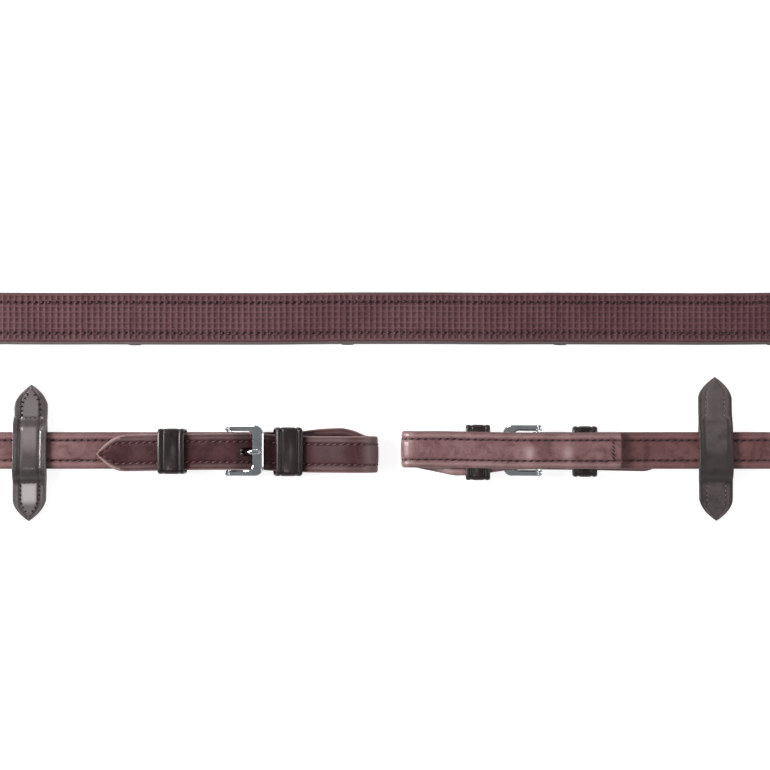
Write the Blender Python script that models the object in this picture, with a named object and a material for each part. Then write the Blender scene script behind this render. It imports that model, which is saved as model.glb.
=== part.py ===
"""Leather reins with rubber hand parts, laid out flat with their spare length coiled on edge.

Each rein runs from the centre buckle, through a hand part (leather backing and rubber grip), to a
bit strap whose end is turned round the bar of a small buckle.  A bit billet is sewn under that end,
makes the loop for the bit ring and comes back through the buckle.  The right rein's hand part lies
along X through the middle of the layout, both bit ends lie side by side in front of it, and a coil
at each side holds the rest.  The left bit end lies front up, the right one rear up.

Metres, +Z up, the supporting surface at z = 0, +X along the hand part.
"""

import math
from collections import namedtuple

import bmesh
import bpy
from mathutils import Matrix, Vector

# ---------------------------------------------------------------- driving dimensions
GAP = 0.0003  # between pieces that lie on each other

REIN_WIDTH = 0.0160
REIN_THICK = 0.0034
HAND_WIDTH = 0.0225
BACKING_THICK = 0.0024
GRIP_THICK = 0.0013
GRIP_WIDTH = 0.0208
GRIP_SHIFT = 0.0005  # the rubber is sewn nearer one edge of its backing
REAR = -0.0020  # rear face of every strap, from the line its route follows
BILLET_WIDTH = 0.0158
BILLET_THICK = 0.0026
CENTRE_THICK = 0.0028

REIN_LENGTH = 1.340  # along the strap, from the centre buckle's bar to the bit buckle's bar
GRIP_LENGTH = 0.700
SPLICE = 0.028  # thinned overlap of two straps
SPLICE_INSET = 0.002  # from the grip's end to the splice
SPLICE_SEAT = 0.0010  # what the rear strap of a splice leaves free at its thin end
SPLICE_EDGE = 0.0007  # thin end of the backing
SPLICE_FRONT = 0.0018  # front face of a splice, from the route's line
TAPER_WIDE = 0.004  # where the taper beside the grip starts and ends, from the grip's end
TAPER_NARROW = 0.026
HAND_STOP_PITCH = 0.0922
HAND_STOP_COUNT = 7
HAND_STOP_FIRST = 0.0676  # from the start of the grip
HAND_STOP_SIZE = (0.006, 0.0226, 0.0016)  # along the strap, across it, thickness
HAND_STOP_SHIFT = 0.0003

CENTRE_BAR_X = -0.2338  # the centre buckle's bar, on the hand part's line
BIT_LINE_Y = -0.0571  # the line that both bit ends lie on
BIT_BAR_X = {"left": -0.0513, "right": 0.0824}

COIL_X = 0.320  # distance of each coil's centre from the origin
COIL_PITCH = 0.0070  # from one turn to the next
COIL_INNER = 0.0210
COIL_ENTRY = math.radians(45)  # how far before the coil's top the bit strap joins it
COIL_BASE = 0.0015  # the coil stands on its tie
COIL_STEP = 0.0065
LEAD_BEND = 0.030
HAND_TWIST = 0.063  # length in which the hand part turns on edge
BIT_TWIST = 0.058
TIE_WIDTH = 0.010
TIE_THICK = 0.0008

BAR_RADIUS = 0.0012
WRAP_CLEARANCE = 0.0003
FRAME_THICK = 0.0022
FRAME_HALF_Y = 0.01115
FRAME_ARM = 0.0025
FRAME_FRONT = 0.0158  # bar to the outer edge of the front rail
FRAME_RAIL = 0.0052
FRAME_BACK = 0.0017
PRONG_RADIUS = 0.0010
PRONG_Y = 0.0006  # the prong sits a little to one side
PRONG_RING = (0.0024, 0.0030)  # radius and length of the eye round the bar
SLOT = ((-0.0060, -0.0014, -0.0040), (0.0030, 0.0026, 0.0050))  # the prong's slot, from the bar
BEND_THICK = 0.0020  # strap where it turns round a bar

# Measured from each buckle's bar, positive towards the hand part.
BIT_END = {
    "left": {"loop": -0.0647, "loop_keeper": -0.0255, "tip_keeper": 0.0244, "rear_end": 0.0403},
    "right": {"loop": -0.0595, "loop_keeper": -0.0261, "tip_keeper": 0.0202, "rear_end": 0.0361},
}
BILLET_TIP = 0.0572
BILLET_POINT = 0.0120  # length of a billet's gothic point
HOLE_HALF_WIDTH = 0.0017
HOLE_DEPTH = 0.0080
# Half length of the hole that the prong fills, its centre from the bar, and its lean.
BILLET_HOLE = {
    "left": (0.0030, (-0.0080, 0.0075), math.radians(-30)),
    "right": (0.0040, (-0.0070, 0.0081), math.radians(30)),
    "centre": (0.0040, (-0.0066, 0.0044), math.radians(-35)),
}
KEEPER_WIDTH = {"left": 0.0116, "right": 0.0106}
KEEPER_THICK = 0.0012
# Inside of each loop of leather: half range across the strap, then up from its rear face.
LOOP_KEEPER_INSIDE = {"left": ((-0.0089, 0.0100), (0.0041, 0.0073)),
                      "right": ((-0.0101, 0.0117), (0.0041, 0.0073))}
TIP_KEEPER_INSIDE = {"left": ((-0.0084, 0.0090), (0.0041, 0.0111)),
                     "right": ((-0.0094, 0.0103), (0.0041, 0.0111))}
# Sideways shift of the bit billets, (x, y) steps in front of the rein and behind it.
BILLET_SHIFT = {
    "left": ([(-0.0353, 0.0017), (-0.0197, 0.0010), (-0.0120, 0.0004), (0.0040, 0.0004),
              (0.0244, 0.0006), (0.0572, 0.0015)],
             [(-0.0581, 0.0012), (-0.0545, -0.0006), (-0.0492, -0.0019), (-0.0394, -0.0015),
              (-0.0310, -0.0003), (-0.0100, 0.0)]),
    "right": ([(-0.0540, -0.0006), (-0.0359, 0.0030), (-0.0260, 0.0026), (-0.0203, 0.0016),
               (-0.0120, 0.0004), (0.0040, 0.0004), (0.0202, 0.0006), (0.0572, 0.0015)],
              [(-0.0400, -0.0006), (-0.0100, 0.0)]),
}
CENTRE_KEEPER = (0.0155, 0.0100, (-0.0085, 0.0085), (0.0029, 0.0093))
CENTRE_RUNNER = (0.0345, 0.0070, (-0.0085, 0.0085), (0.0016, 0.0079))
BIT_BAR_Z = 0.0058  # above the bundle's rear face
BIT_TILT = math.radians(15)
CENTRE_BAR_Z = 0.0031
CENTRE_TILT = math.radians(10)
LOOP_RADIUS = 0.0053  # centre line of the bit loop's bend
BIT_REIN_REAR = 0.0024  # height of the rein's rear face beyond the bundle
# Rear face of the upturned right bundle above the surface, by distance from the bar.
BUNDLE_SAG = [(0.002, 0.0145), (0.026, 0.0124), (0.048, 0.00875)]
SAG_GRID = 0.004

HAND_BASE = 0.0019  # rear face of the hand part, which lies on its hand stops
BILLET_BASE = 0.0004  # rear face of the left rein where it enters the centre buckle
BIT_BASE = {"left": BIT_REIN_REAR, "right": BUNDLE_SAG[-1][1] - BIT_REIN_REAR + 2 * REAR}
REIN_TOP = {"left": BIT_REIN_REAR + REIN_THICK, "right": BUNDLE_SAG[-1][1] - BIT_REIN_REAR}

STOP_X = {"left": -0.1376, "right": 0.1594}
STOP_REACH = {"left": (0.0306, 0.0284), "right": (0.0305, 0.0317)}  # below, above the rein
STOP_WIDTH = 0.0146
STOP_THICK = 0.0021
STOP_POINT = 0.0098
STOP_ARCH = (0.0088, 0.0128)  # half width of the arch over the rein, at its top and its foot

LEATHER = (0.215, 0.125, 0.125)
DARK_LEATHER = (0.075, 0.042, 0.042)
BLACK_LEATHER = (0.035, 0.028, 0.028)
STOP_LEATHER = (0.120, 0.100, 0.097)
RUBBER = (0.095, 0.042, 0.046)
STEEL = (0.420, 0.460, 0.480)

Frame = namedtuple("Frame", "distance point side normal")

Z = Vector((0, 0, 1))


# ---------------------------------------------------------------- scene and materials
def clear_scene():
    for obj in list(bpy.data.objects):
        bpy.data.objects.remove(obj, do_unlink=True)


def make_collection(name):
    collection = bpy.data.collections.new(name)
    bpy.context.scene.collection.children.link(collection)
    return collection


def make_material(name, colour, roughness, metallic=0.0):
    material = bpy.data.materials.new(name)
    material.use_nodes = True
    shader = material.node_tree.nodes["Principled BSDF"]
    shader.inputs["Base Color"].default_value = (*colour, 1.0)
    shader.inputs["Roughness"].default_value = roughness
    shader.inputs["Metallic"].default_value = metallic
    return material


def add_object(name, data, look, collection):
    """Link a new object; look is (colour, roughness, metallic)."""
    obj = bpy.data.objects.new(name, data)
    collection.objects.link(obj)
    if look:
        data.materials.clear()
        data.materials.append(make_material(name, *look))
    return obj


# ---------------------------------------------------------------- lines and frames
def filleted(corners, step=math.radians(18)):
    """Polyline through (x, z, radius) corners, each corner rounded by an arc of its radius."""
    points = [Vector(corners[0][:2])]
    for before, corner, after in zip(corners, corners[1:], corners[2:]):
        here = Vector(corner[:2])
        into = (here - Vector(before[:2])).normalized()
        out = (Vector(after[:2]) - here).normalized()
        turn = into.angle_signed(out)  # positive clockwise
        if abs(turn) < 1e-6 or corner[2] == 0:
            points.append(here)
            continue
        reach = corner[2] * math.tan(abs(turn) / 2)
        centre = here - into * reach
        centre += Vector((into.y, -into.x)) * math.copysign(corner[2], turn)
        spoke = here - into * reach - centre
        count = max(1, math.ceil(abs(turn) / step))
        for i in range(count + 1):
            points.append(centre + Matrix.Rotation(-turn * i / count, 2) @ spoke)
    points.append(Vector(corners[-1][:2]))
    apart = points[:1]  # arcs that meet share a point
    for point in points[1:]:
        if (point - apart[-1]).length > 1e-6:
            apart.append(point)
    return apart


def frames_along(points, sides):
    """Frames of a strap whose width lies along sides, with its front towards the normal."""
    frames = []
    distance = 0.0
    for i, (point, side) in enumerate(zip(points, sides)):
        before = points[max(i - 1, 0)]
        after = points[min(i + 1, len(points) - 1)]
        if i:
            distance += (point - before).length
        tangent = (point - before).normalized() + (after - point).normalized()
        normal = tangent.normalized().cross(side).normalized()
        frames.append(Frame(distance, point, side, normal))
    return frames


def interpolate(frames, distance):
    """The frame at a distance, on the straight line between its neighbours."""
    for low, high in zip(frames, frames[1:]):
        if distance <= high.distance:
            break
    share = (distance - low.distance) / (high.distance - low.distance)
    return Frame(distance, *(low[i].lerp(high[i], share) for i in (1, 2, 3)))


def stretch(frames, start, end, extra=()):
    """The frames between two distances, both ends and any extra stations included."""
    inside = [f for f in frames if start + 1e-5 < f.distance < end - 1e-5]
    known = [f.distance for f in inside]
    wanted = [start, end] + [d for d in extra if start < d < end]
    fresh = [interpolate(frames, d) for d in wanted if all(abs(d - k) > 1e-5 for k in known)]
    return sorted(inside + fresh, key=lambda f: f.distance)


def ramp(value, steps):
    """Piecewise linear function through (value, result) steps."""
    if value <= steps[0][0]:
        return steps[0][1]
    for (x0, y0), (x1, y1) in zip(steps, steps[1:]):
        if value <= x1:
            return y0 + (y1 - y0) * (value - x0) / (x1 - x0)
    return steps[-1][1]


def section(frame, low, high, half_width, shift=0.0):
    """Four corners of a strap's section: low and high along the normal, shift across it."""
    left = frame.side * (shift - half_width)
    right = frame.side * (shift + half_width)
    down = frame.normal * low
    up = frame.normal * high
    return [frame.point + left + down, frame.point + right + down,
            frame.point + right + up, frame.point + left + up]


def loft(name, sections, look, collection):
    """Closed solid through sections that change width, thickness and twist from one to the next."""
    bm = bmesh.new()
    rings = [[bm.verts.new(corner) for corner in corners] for corners in sections]
    for ring, following in zip(rings, rings[1:]):
        for i in range(4):
            j = (i + 1) % 4
            corners = [ring[i], ring[j], following[j], following[i]]
            if i == 2:  # both faces of a strap are split along the same diagonal
                corners = corners[1:] + corners[:1]
            bm.faces.new(corners[:3])
            bm.faces.new((corners[2], corners[3], corners[0]))
    bm.faces.new(reversed(rings[0]))
    bm.faces.new(rings[-1])
    bmesh.ops.recalc_face_normals(bm, faces=bm.faces[:])
    mesh = bpy.data.meshes.new(name)
    bm.to_mesh(mesh)
    bm.free()
    return add_object(name, mesh, look, collection)


# ---------------------------------------------------------------- mesh helpers
def mesh_from_curve(curve_obj):
    """Replace a curve object by a closed mesh object in the same place."""
    name = curve_obj.name
    graph = bpy.context.evaluated_depsgraph_get()
    mesh = bpy.data.meshes.new_from_object(curve_obj.evaluated_get(graph))
    bm = bmesh.new()
    bm.from_mesh(mesh)
    bmesh.ops.remove_doubles(bm, verts=bm.verts[:], dist=1e-6)
    bmesh.ops.recalc_face_normals(bm, faces=bm.faces[:])
    bm.to_mesh(mesh)
    bm.free()
    obj = bpy.data.objects.new(name + "_mesh", mesh)
    obj.matrix_world = curve_obj.matrix_world.copy()
    curve_obj.users_collection[0].objects.link(obj)
    bpy.data.objects.remove(curve_obj, do_unlink=True)
    obj.name = name
    return obj


def plate(name, outlines, thickness, collection, look=None):
    """Flat plate in XY, centred on z = 0; outlines after the first are holes."""
    curve = bpy.data.curves.new(name, "CURVE")
    curve.dimensions = "2D"
    curve.fill_mode = "BOTH"
    curve.extrude = thickness / 2
    for outline in outlines:
        spline = curve.splines.new("POLY")
        spline.points.add(len(outline) - 1)
        for point, place in zip(spline.points, outline):
            point.co = (place.x, place.y, 0, 1)
        spline.use_cyclic_u = True
    return mesh_from_curve(add_object(name, curve, look, collection))


def rod(name, points, radius, collection, look=None):
    """Round rod along points, with filled ends."""
    curve = bpy.data.curves.new(name, "CURVE")
    curve.dimensions = "3D"
    curve.bevel_depth = radius
    curve.bevel_resolution = 2
    curve.use_fill_caps = True
    spline = curve.splines.new("POLY")
    spline.points.add(len(points) - 1)
    for point, place in zip(spline.points, points):
        point.co = (*place, 1)
    return mesh_from_curve(add_object(name, curve, look, collection))


def cylinder(name, radius, length, matrix, collection, segments=16):
    mesh = bpy.data.meshes.new(name)
    bm = bmesh.new()
    bmesh.ops.create_cone(bm, cap_ends=True, segments=segments, radius1=radius,
                          radius2=radius, depth=length, matrix=matrix)
    bm.to_mesh(mesh)
    bm.free()
    return add_object(name, mesh, None, collection)


def box(name, low, high, collection):
    mesh = bpy.data.meshes.new(name)
    bm = bmesh.new()
    size = Vector(high) - Vector(low)
    middle = (Vector(high) + Vector(low)) / 2
    bmesh.ops.create_cube(bm, matrix=Matrix.Translation(middle) @ Matrix.Diagonal((*size, 1)))
    bm.to_mesh(mesh)
    bm.free()
    return add_object(name, mesh, None, collection)


def boolean(obj, tool, operation):
    modifier = obj.modifiers.new(operation.lower(), "BOOLEAN")
    modifier.operation = operation
    modifier.object = tool
    modifier.solver = "EXACT"
    tool.hide_render = True
    tool.display_type = "WIRE"


def rounded(low_x, high_x, low_y, high_y, radius):
    """Closed outline of a rectangle with rounded corners."""
    middle = (low_x + high_x) / 2
    corners = [(middle, low_y, 0), (high_x, low_y, radius), (high_x, high_y, radius),
               (low_x, high_y, radius), (low_x, low_y, radius), (middle, low_y, 0)]
    return filleted(corners, math.radians(30))[:-1]


# ---------------------------------------------------------------- the routes of the two reins
def coil_radius(length):
    """Outer radius of a two-strand coil that holds this length of strap."""
    offset = COIL_PITCH * (math.pi - COIL_ENTRY) / math.pi
    turns = 2 * COIL_PITCH / math.pi * (length - math.pi * COIL_INNER) + 2 * COIL_INNER ** 2
    return (offset + math.sqrt(2 * turns - offset ** 2)) / 2


def spiral(centre, radius, start, end):
    """Points of one strand; angles run clockwise from the coil's top."""
    points = []
    angle = start
    while angle < end:
        r = radius - COIL_PITCH / math.pi * angle
        points.append(centre + Vector((math.sin(angle), math.cos(angle))) * r)
        angle += COIL_STEP / r
    r = radius - COIL_PITCH / math.pi * end
    points.append(centre + Vector((math.sin(end), math.cos(end))) * r)
    return points


def half_turn(start, end, clockwise, count=7):
    """Points between the ends of a half circle."""
    middle = (start + end) / 2
    sign = -1 if clockwise else 1
    return [middle + Matrix.Rotation(sign * math.pi * i / count, 2) @ (start - middle)
            for i in range(1, count)]


def run(start, end):
    """Evenly spaced points from start up to, but without, end."""
    count = max(1, round((end - start).length / COIL_STEP))
    return [start.lerp(end, i / count) for i in range(count)]


def plan_route(side, coil_length):
    """Plan view of a rein with its coil towards +X: points, coil centre and twist places."""
    mirror = -1 if side == "left" else 1
    radius = coil_radius(coil_length)
    centre = Vector((COIL_X, -radius))
    turns = (radius - COIL_INNER) * math.pi / COIL_PITCH
    inward = spiral(centre, radius, 0, turns)
    shifted = radius - COIL_PITCH
    outward = spiral(centre, shifted, -COIL_ENTRY, turns - math.pi)
    join = outward[0]
    rise = join.y - BIT_LINE_Y - LEAD_BEND * (1 - math.cos(COIL_ENTRY))
    bend_end = join - Vector((rise / math.tan(COIL_ENTRY), rise))
    bend_start = Vector((bend_end.x - LEAD_BEND * math.sin(COIL_ENTRY), BIT_LINE_Y))
    bend_centre = bend_start + Vector((0, LEAD_BEND))
    bend = [bend_centre + Matrix.Rotation(COIL_ENTRY * i / 5, 2) @ Vector((0, -LEAD_BEND))
            for i in range(6)]
    hand_start = Vector((mirror * CENTRE_BAR_X, 0))
    hand_twist = Vector((COIL_X - HAND_TWIST, 0))
    bit_twist = Vector((bend_start.x - BIT_TWIST, BIT_LINE_Y))
    bit_start = Vector((mirror * BIT_BAR_X[side], BIT_LINE_Y))
    before_twist = Vector((COIL_STEP, 0))
    points = [hand_start, hand_twist - before_twist]
    points += run(hand_twist, Vector((COIL_X, 0)))
    points += inward
    points += half_turn(inward[-1], centre, True)
    points += [centre]
    points += half_turn(centre, outward[-1], False)
    points += outward[::-1]
    points += run(join, bend_end)[1:]
    points += bend[::-1]
    points += run(bend_start, bit_twist)[1:]
    points += [bit_twist, bit_twist - before_twist, bit_start]
    return [Vector((mirror * p.x, p.y)) for p in points], centre, turns, radius


def distances(points):
    total = [0.0]
    for before, after in zip(points, points[1:]):
        total.append(total[-1] + (after - before).length)
    return total


def strap_width(distance, grip_start):
    """Width of a rein: the hand part, the leather at its ends and the tapers between."""
    grip_end = grip_start + GRIP_LENGTH
    return ramp(distance, [(grip_start - TAPER_NARROW, REIN_WIDTH),
                           (grip_start - TAPER_WIDE, HAND_WIDTH),
                           (grip_end + TAPER_WIDE, HAND_WIDTH),
                           (grip_end + TAPER_NARROW, REIN_WIDTH)])


def rein_route(side, grip_start):
    """Frames of a rein's route from the centre buckle's bar to the bit buckle's bar."""
    coil_length = REIN_LENGTH
    for _ in range(12):
        plan, centre, turns, radius = plan_route(side, coil_length)
        coil_length += REIN_LENGTH - distances(plan)[-1]
    along = distances(plan)
    twist_in = along[2]
    twist_out = along[-3]
    last_turn = 180 if side == "right" else 0
    on_edge = (twist_in + HAND_TWIST, twist_out - BIT_TWIST)
    roll = [(twist_in, 0), (on_edge[0], 90), (on_edge[1], 90), (twist_out, last_turn)]
    hand_base = HAND_BASE if side == "right" else BILLET_BASE
    base = [(twist_in + HAND_TWIST / 2, hand_base), (on_edge[0], COIL_BASE),
            (on_edge[1], COIL_BASE), (twist_out, BIT_BASE[side])]
    points = []
    sides = []
    for i, (place, distance) in enumerate(zip(plan, along)):
        before = plan[max(i - 1, 0)]
        after = plan[min(i + 1, len(plan) - 1)]
        heading = ((place - before).normalized() + (after - place).normalized()).normalized()
        angle = math.radians(ramp(distance, roll))
        across = Vector((-heading.y, heading.x, 0))
        height = ramp(distance, base) - REAR * abs(math.cos(angle))
        height += strap_width(distance, grip_start) / 2 * math.sin(angle)
        points.append(Vector((place.x, place.y, height)))
        sides.append(across * math.cos(angle) + Z * math.sin(angle))
    return frames_along(points, sides), centre, turns, radius


def strap_sections(frames, low, high, grip_start, trim=0.0):
    """Sections of a rein whose rear and front faces follow (distance, height) ramps."""
    return [section(f, ramp(f.distance, low), ramp(f.distance, high),
                    strap_width(f.distance, grip_start) / 2 - trim) for f in frames]


# ---------------------------------------------------------------- the hand parts
def hand_part(side, frames, grip_start, parts):
    """Leather backing, rubber grip and hand stops."""
    grip_end = grip_start + GRIP_LENGTH
    low_end = grip_start - SPLICE_INSET - SPLICE
    high_end = grip_end + SPLICE_INSET + SPLICE
    insets = (0, SPLICE_INSET, TAPER_WIDE, TAPER_NARROW)
    joints = [grip_start - d for d in insets] + [grip_end + d for d in insets]
    front = [(low_end, REAR + SPLICE_EDGE), (grip_start - SPLICE_INSET, REAR + BACKING_THICK),
             (grip_end + SPLICE_INSET, REAR + BACKING_THICK), (high_end, REAR + SPLICE_EDGE)]
    backing = strap_sections(stretch(frames, low_end, high_end, joints), [(0, REAR)], front,
                             grip_start)
    loft(f"grip_backing_{side}", backing, (LEATHER, 0.5, 0.0), parts)
    seat = REAR + BACKING_THICK + GAP
    grip = [section(f, seat, seat + GRIP_THICK, GRIP_WIDTH / 2, GRIP_SHIFT)
            for f in stretch(frames, grip_start, grip_end)]
    loft(f"grip_{side}", grip, (RUBBER, 0.85, 0.0), parts)
    hand_stops(side, frames, grip_start, parts)


def hand_stops(side, frames, grip_start, parts):
    """Leather bars sewn across the inside of the hand part."""
    length, width, thick = HAND_STOP_SIZE
    top = REAR - GAP
    for number in range(HAND_STOP_COUNT):
        middle = grip_start + HAND_STOP_FIRST + HAND_STOP_PITCH * number
        sections = [section(f, top - thick, top, width / 2, -HAND_STOP_SHIFT)
                    for f in stretch(frames, middle - length / 2, middle + length / 2)]
        loft(f"hand_stop_{side}_{number + 1}", sections, (LEATHER, 0.5, 0.0), parts)


# ---------------------------------------------------------------- buckles
def buckle(name, place, tilt, parts, cutters):
    """Frame with its bar, and the prong that hangs on it; both turn about the bar."""
    inner_x = FRAME_RAIL - FRAME_FRONT
    arm_y = FRAME_HALF_Y - FRAME_ARM
    corners = [(-0.008, -FRAME_HALF_Y, 0), (FRAME_BACK, -FRAME_HALF_Y, 0.0010),
               (FRAME_BACK, -arm_y, 0.0008), (inner_x, -arm_y, 0.0006),
               (inner_x, arm_y, 0.0006), (FRAME_BACK, arm_y, 0.0008),
               (FRAME_BACK, FRAME_HALF_Y, 0.0010), (-FRAME_FRONT, FRAME_HALF_Y, 0.0040),
               (-FRAME_FRONT, -FRAME_HALF_Y, 0.0040), (-0.008, -FRAME_HALF_Y, 0)]
    outline = filleted(corners, math.radians(30))[:-1]
    look = (STEEL, 0.25, 1.0)
    frame = plate(f"{name}_frame", [outline], FRAME_THICK, parts, look)
    across = Matrix.Rotation(math.pi / 2, 4, "X")
    bar = cylinder(f"{name}_bar", BAR_RADIUS, 2 * FRAME_HALF_Y - 0.0012, across, cutters)
    boolean(frame, bar, "UNION")
    rail_top = FRAME_THICK / 2 + GAP + PRONG_RADIUS
    reach = [(-0.0017, 0.0006), (-0.0042, -0.0006), (-0.0064, -0.0006), (-0.0082, 0.0008),
             (-0.0102, rail_top), (-0.0150, rail_top)]
    points = [Vector((x, PRONG_Y, z)) for x, z in reach]
    prong = rod(f"{name}_prong", points, PRONG_RADIUS, parts, look)
    upright = Matrix.Translation((0, PRONG_Y, 0)) @ across
    ring = cylinder(f"{name}_ring", *PRONG_RING, upright, cutters)
    eye = cylinder(f"{name}_eye", BAR_RADIUS + WRAP_CLEARANCE, 2 * PRONG_RING[1], upright, cutters)
    boolean(prong, ring, "UNION")
    boolean(prong, eye, "DIFFERENCE")
    turned = place @ Matrix.Rotation(tilt, 4, "Y")
    for obj in (frame, bar, prong, ring, eye):
        obj.matrix_world = turned


def chape(bar_z, return_end, return_thick, slope):
    """Inner face of a strap's end turned round a buckle's bar: points and outward thickness.

    The line starts on the strap, on top of the bar, and ends under it.
    """
    reach = BAR_RADIUS + WRAP_CLEARANCE
    over = slope + [(0.002, bar_z + reach, 0)]
    under = [(-reach, bar_z + reach, reach), (-reach, bar_z - reach, reach)]
    under += [(return_end, bar_z - reach, 0)]
    line = on_grid(over + under)
    bend = next(i for i, p in enumerate(line) if p.x < 0.001)
    thickness = []
    for i, p in enumerate(line):
        if i < bend:
            thickness.append(ramp(p.x, [(0.001, BEND_THICK), (0.018, REIN_THICK)]))
        elif p.y > bar_z - reach + 1e-5:
            share = (i - bend) / (len(line) - bend)
            thickness.append(BEND_THICK + (return_thick - BEND_THICK) * share)
        else:
            thickness.append(return_thick)
    return line, thickness


def on_grid(corners):
    """Fillet a line and add points where it crosses the grid on which the right bundle sags."""
    line = filleted(corners)
    points = line[:1]
    for start, end in zip(line, line[1:]):
        low, high = sorted((start.x, end.x))
        first = math.ceil((low + 1e-6) / SAG_GRID)
        last = math.floor((high - 1e-6) / SAG_GRID)
        grid = [i * SAG_GRID for i in range(max(first, 0), last + 1)]
        if start.x > end.x:
            grid.reverse()
        points += [start.lerp(end, (x - start.x) / (end.x - start.x)) for x in grid]
        points.append(end)
    return points


def cut_slot(strap, name, place, bar_z, cutters):
    """The slot in a strap's bend that the prong's eye sits in."""
    corners = [place(x, y, bar_z + z) for x, y, z in SLOT]
    low_corner = [min(pair) for pair in zip(*corners)]
    high_corner = [max(pair) for pair in zip(*corners)]
    boolean(strap, box(name, low_corner, high_corner, cutters), "DIFFERENCE")


def cut_hole(billet, end, place, cutters):
    """The hole in a billet that the prong goes through."""
    half_length, (x, z), lean = BILLET_HOLE[end]
    corner = Vector((half_length, HOLE_HALF_WIDTH, HOLE_DEPTH / 2))
    hole = box(f"billet_hole_{end}", -corner, corner, cutters)
    hole.matrix_world = Matrix.Translation(place(x, PRONG_Y, z)) @ Matrix.Rotation(lean, 4, "Y")
    boolean(billet, hole, "DIFFERENCE")


def local_frames(line, place, y_of=None, outward=1):
    """Frames of a line in a bit end's own XZ plane; place maps (x, y, z) to the world."""
    shifts = [y_of(i) if y_of else 0.0 for i in range(len(line))]
    points = [place(p.x, y, p.y) for p, y in zip(line, shifts)]
    sides = [(place(p.x, y + 0.01, p.y) - place(p.x, y, p.y)).normalized() * outward
             for p, y in zip(line, shifts)]
    return frames_along(points, sides)


# ---------------------------------------------------------------- bit ends
def bit_place(side):
    """Map from a bit end's own axes (x from the bar, y across, z from its rear face)."""
    bar_x = BIT_BAR_X[side]
    if side == "left":
        return lambda x, y, z: Vector((bar_x - x, BIT_LINE_Y - y, z))
    return lambda x, y, z: Vector((bar_x + x, BIT_LINE_Y - y, ramp(x, BUNDLE_SAG) - z))


def bit_buckle_matrix(side):
    if side == "left":
        return (Matrix.Translation((BIT_BAR_X[side], BIT_LINE_Y, BIT_BAR_Z))
                @ Matrix.Rotation(math.pi, 4, "Z"))
    return (Matrix.Translation((BIT_BAR_X[side], BIT_LINE_Y, BUNDLE_SAG[0][1] - BIT_BAR_Z))
            @ Matrix.Rotation(math.pi, 4, "X"))


def bit_strap(side, frames, grip_start, parts, cutters):
    """The rein from its splice with the hand part to its end round the buckle's bar."""
    place = bit_place(side)
    splice_start = grip_start + GRIP_LENGTH + SPLICE_INSET
    splice_end = splice_start + SPLICE
    full = splice_end + 0.010
    local_start = REIN_LENGTH - 0.050
    low = [(splice_start, REAR + BACKING_THICK + GAP), (splice_end, REAR + SPLICE_SEAT),
           (full, REAR)]
    high = [(splice_end, SPLICE_FRONT), (full, REAR + REIN_THICK)]
    stations = stretch(frames, splice_start, local_start, [splice_end, full])
    sections = strap_sections(stations, low, high, grip_start)
    keeper = BIT_END[side]["tip_keeper"]
    plateau = BIT_BAR_Z - 0.0014
    slope = [(0.048, BIT_REIN_REAR, 0), (0.044, BIT_REIN_REAR, 0),
             (keeper + 0.0085, plateau, 0.030),
             (keeper - 0.0085, plateau, 0.030)]
    line, thickness = chape(BIT_BAR_Z, keeper - 0.0085, 0.0012, slope)
    ends = local_frames(line, place, None, -1)
    sections += [section(f, 0, t, REIN_WIDTH / 2) for f, t in zip(ends, thickness)]
    strap = loft(f"bit_strap_{side}", sections, (LEATHER, 0.45, 0.0), parts)
    cut_slot(strap, f"chape_slot_{side}", place, BIT_BAR_Z, cutters)


def pointed(distance, length, half_width):
    """Half width of a strap that ends in a gothic point."""
    share = min(distance / length, 1.0)
    return half_width * max(0.06, math.sin(share * math.pi / 2) ** 0.85)


def with_tip(line):
    """Add the stations that a billet's point needs."""
    tip = line[0]
    stations = [Vector((tip.x - d, tip.y)) for d in (0.0015, 0.0035, 0.006, 0.009, 0.0115)]
    return [tip] + stations + [p for p in line[1:] if p.x < tip.x - 0.012]


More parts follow.
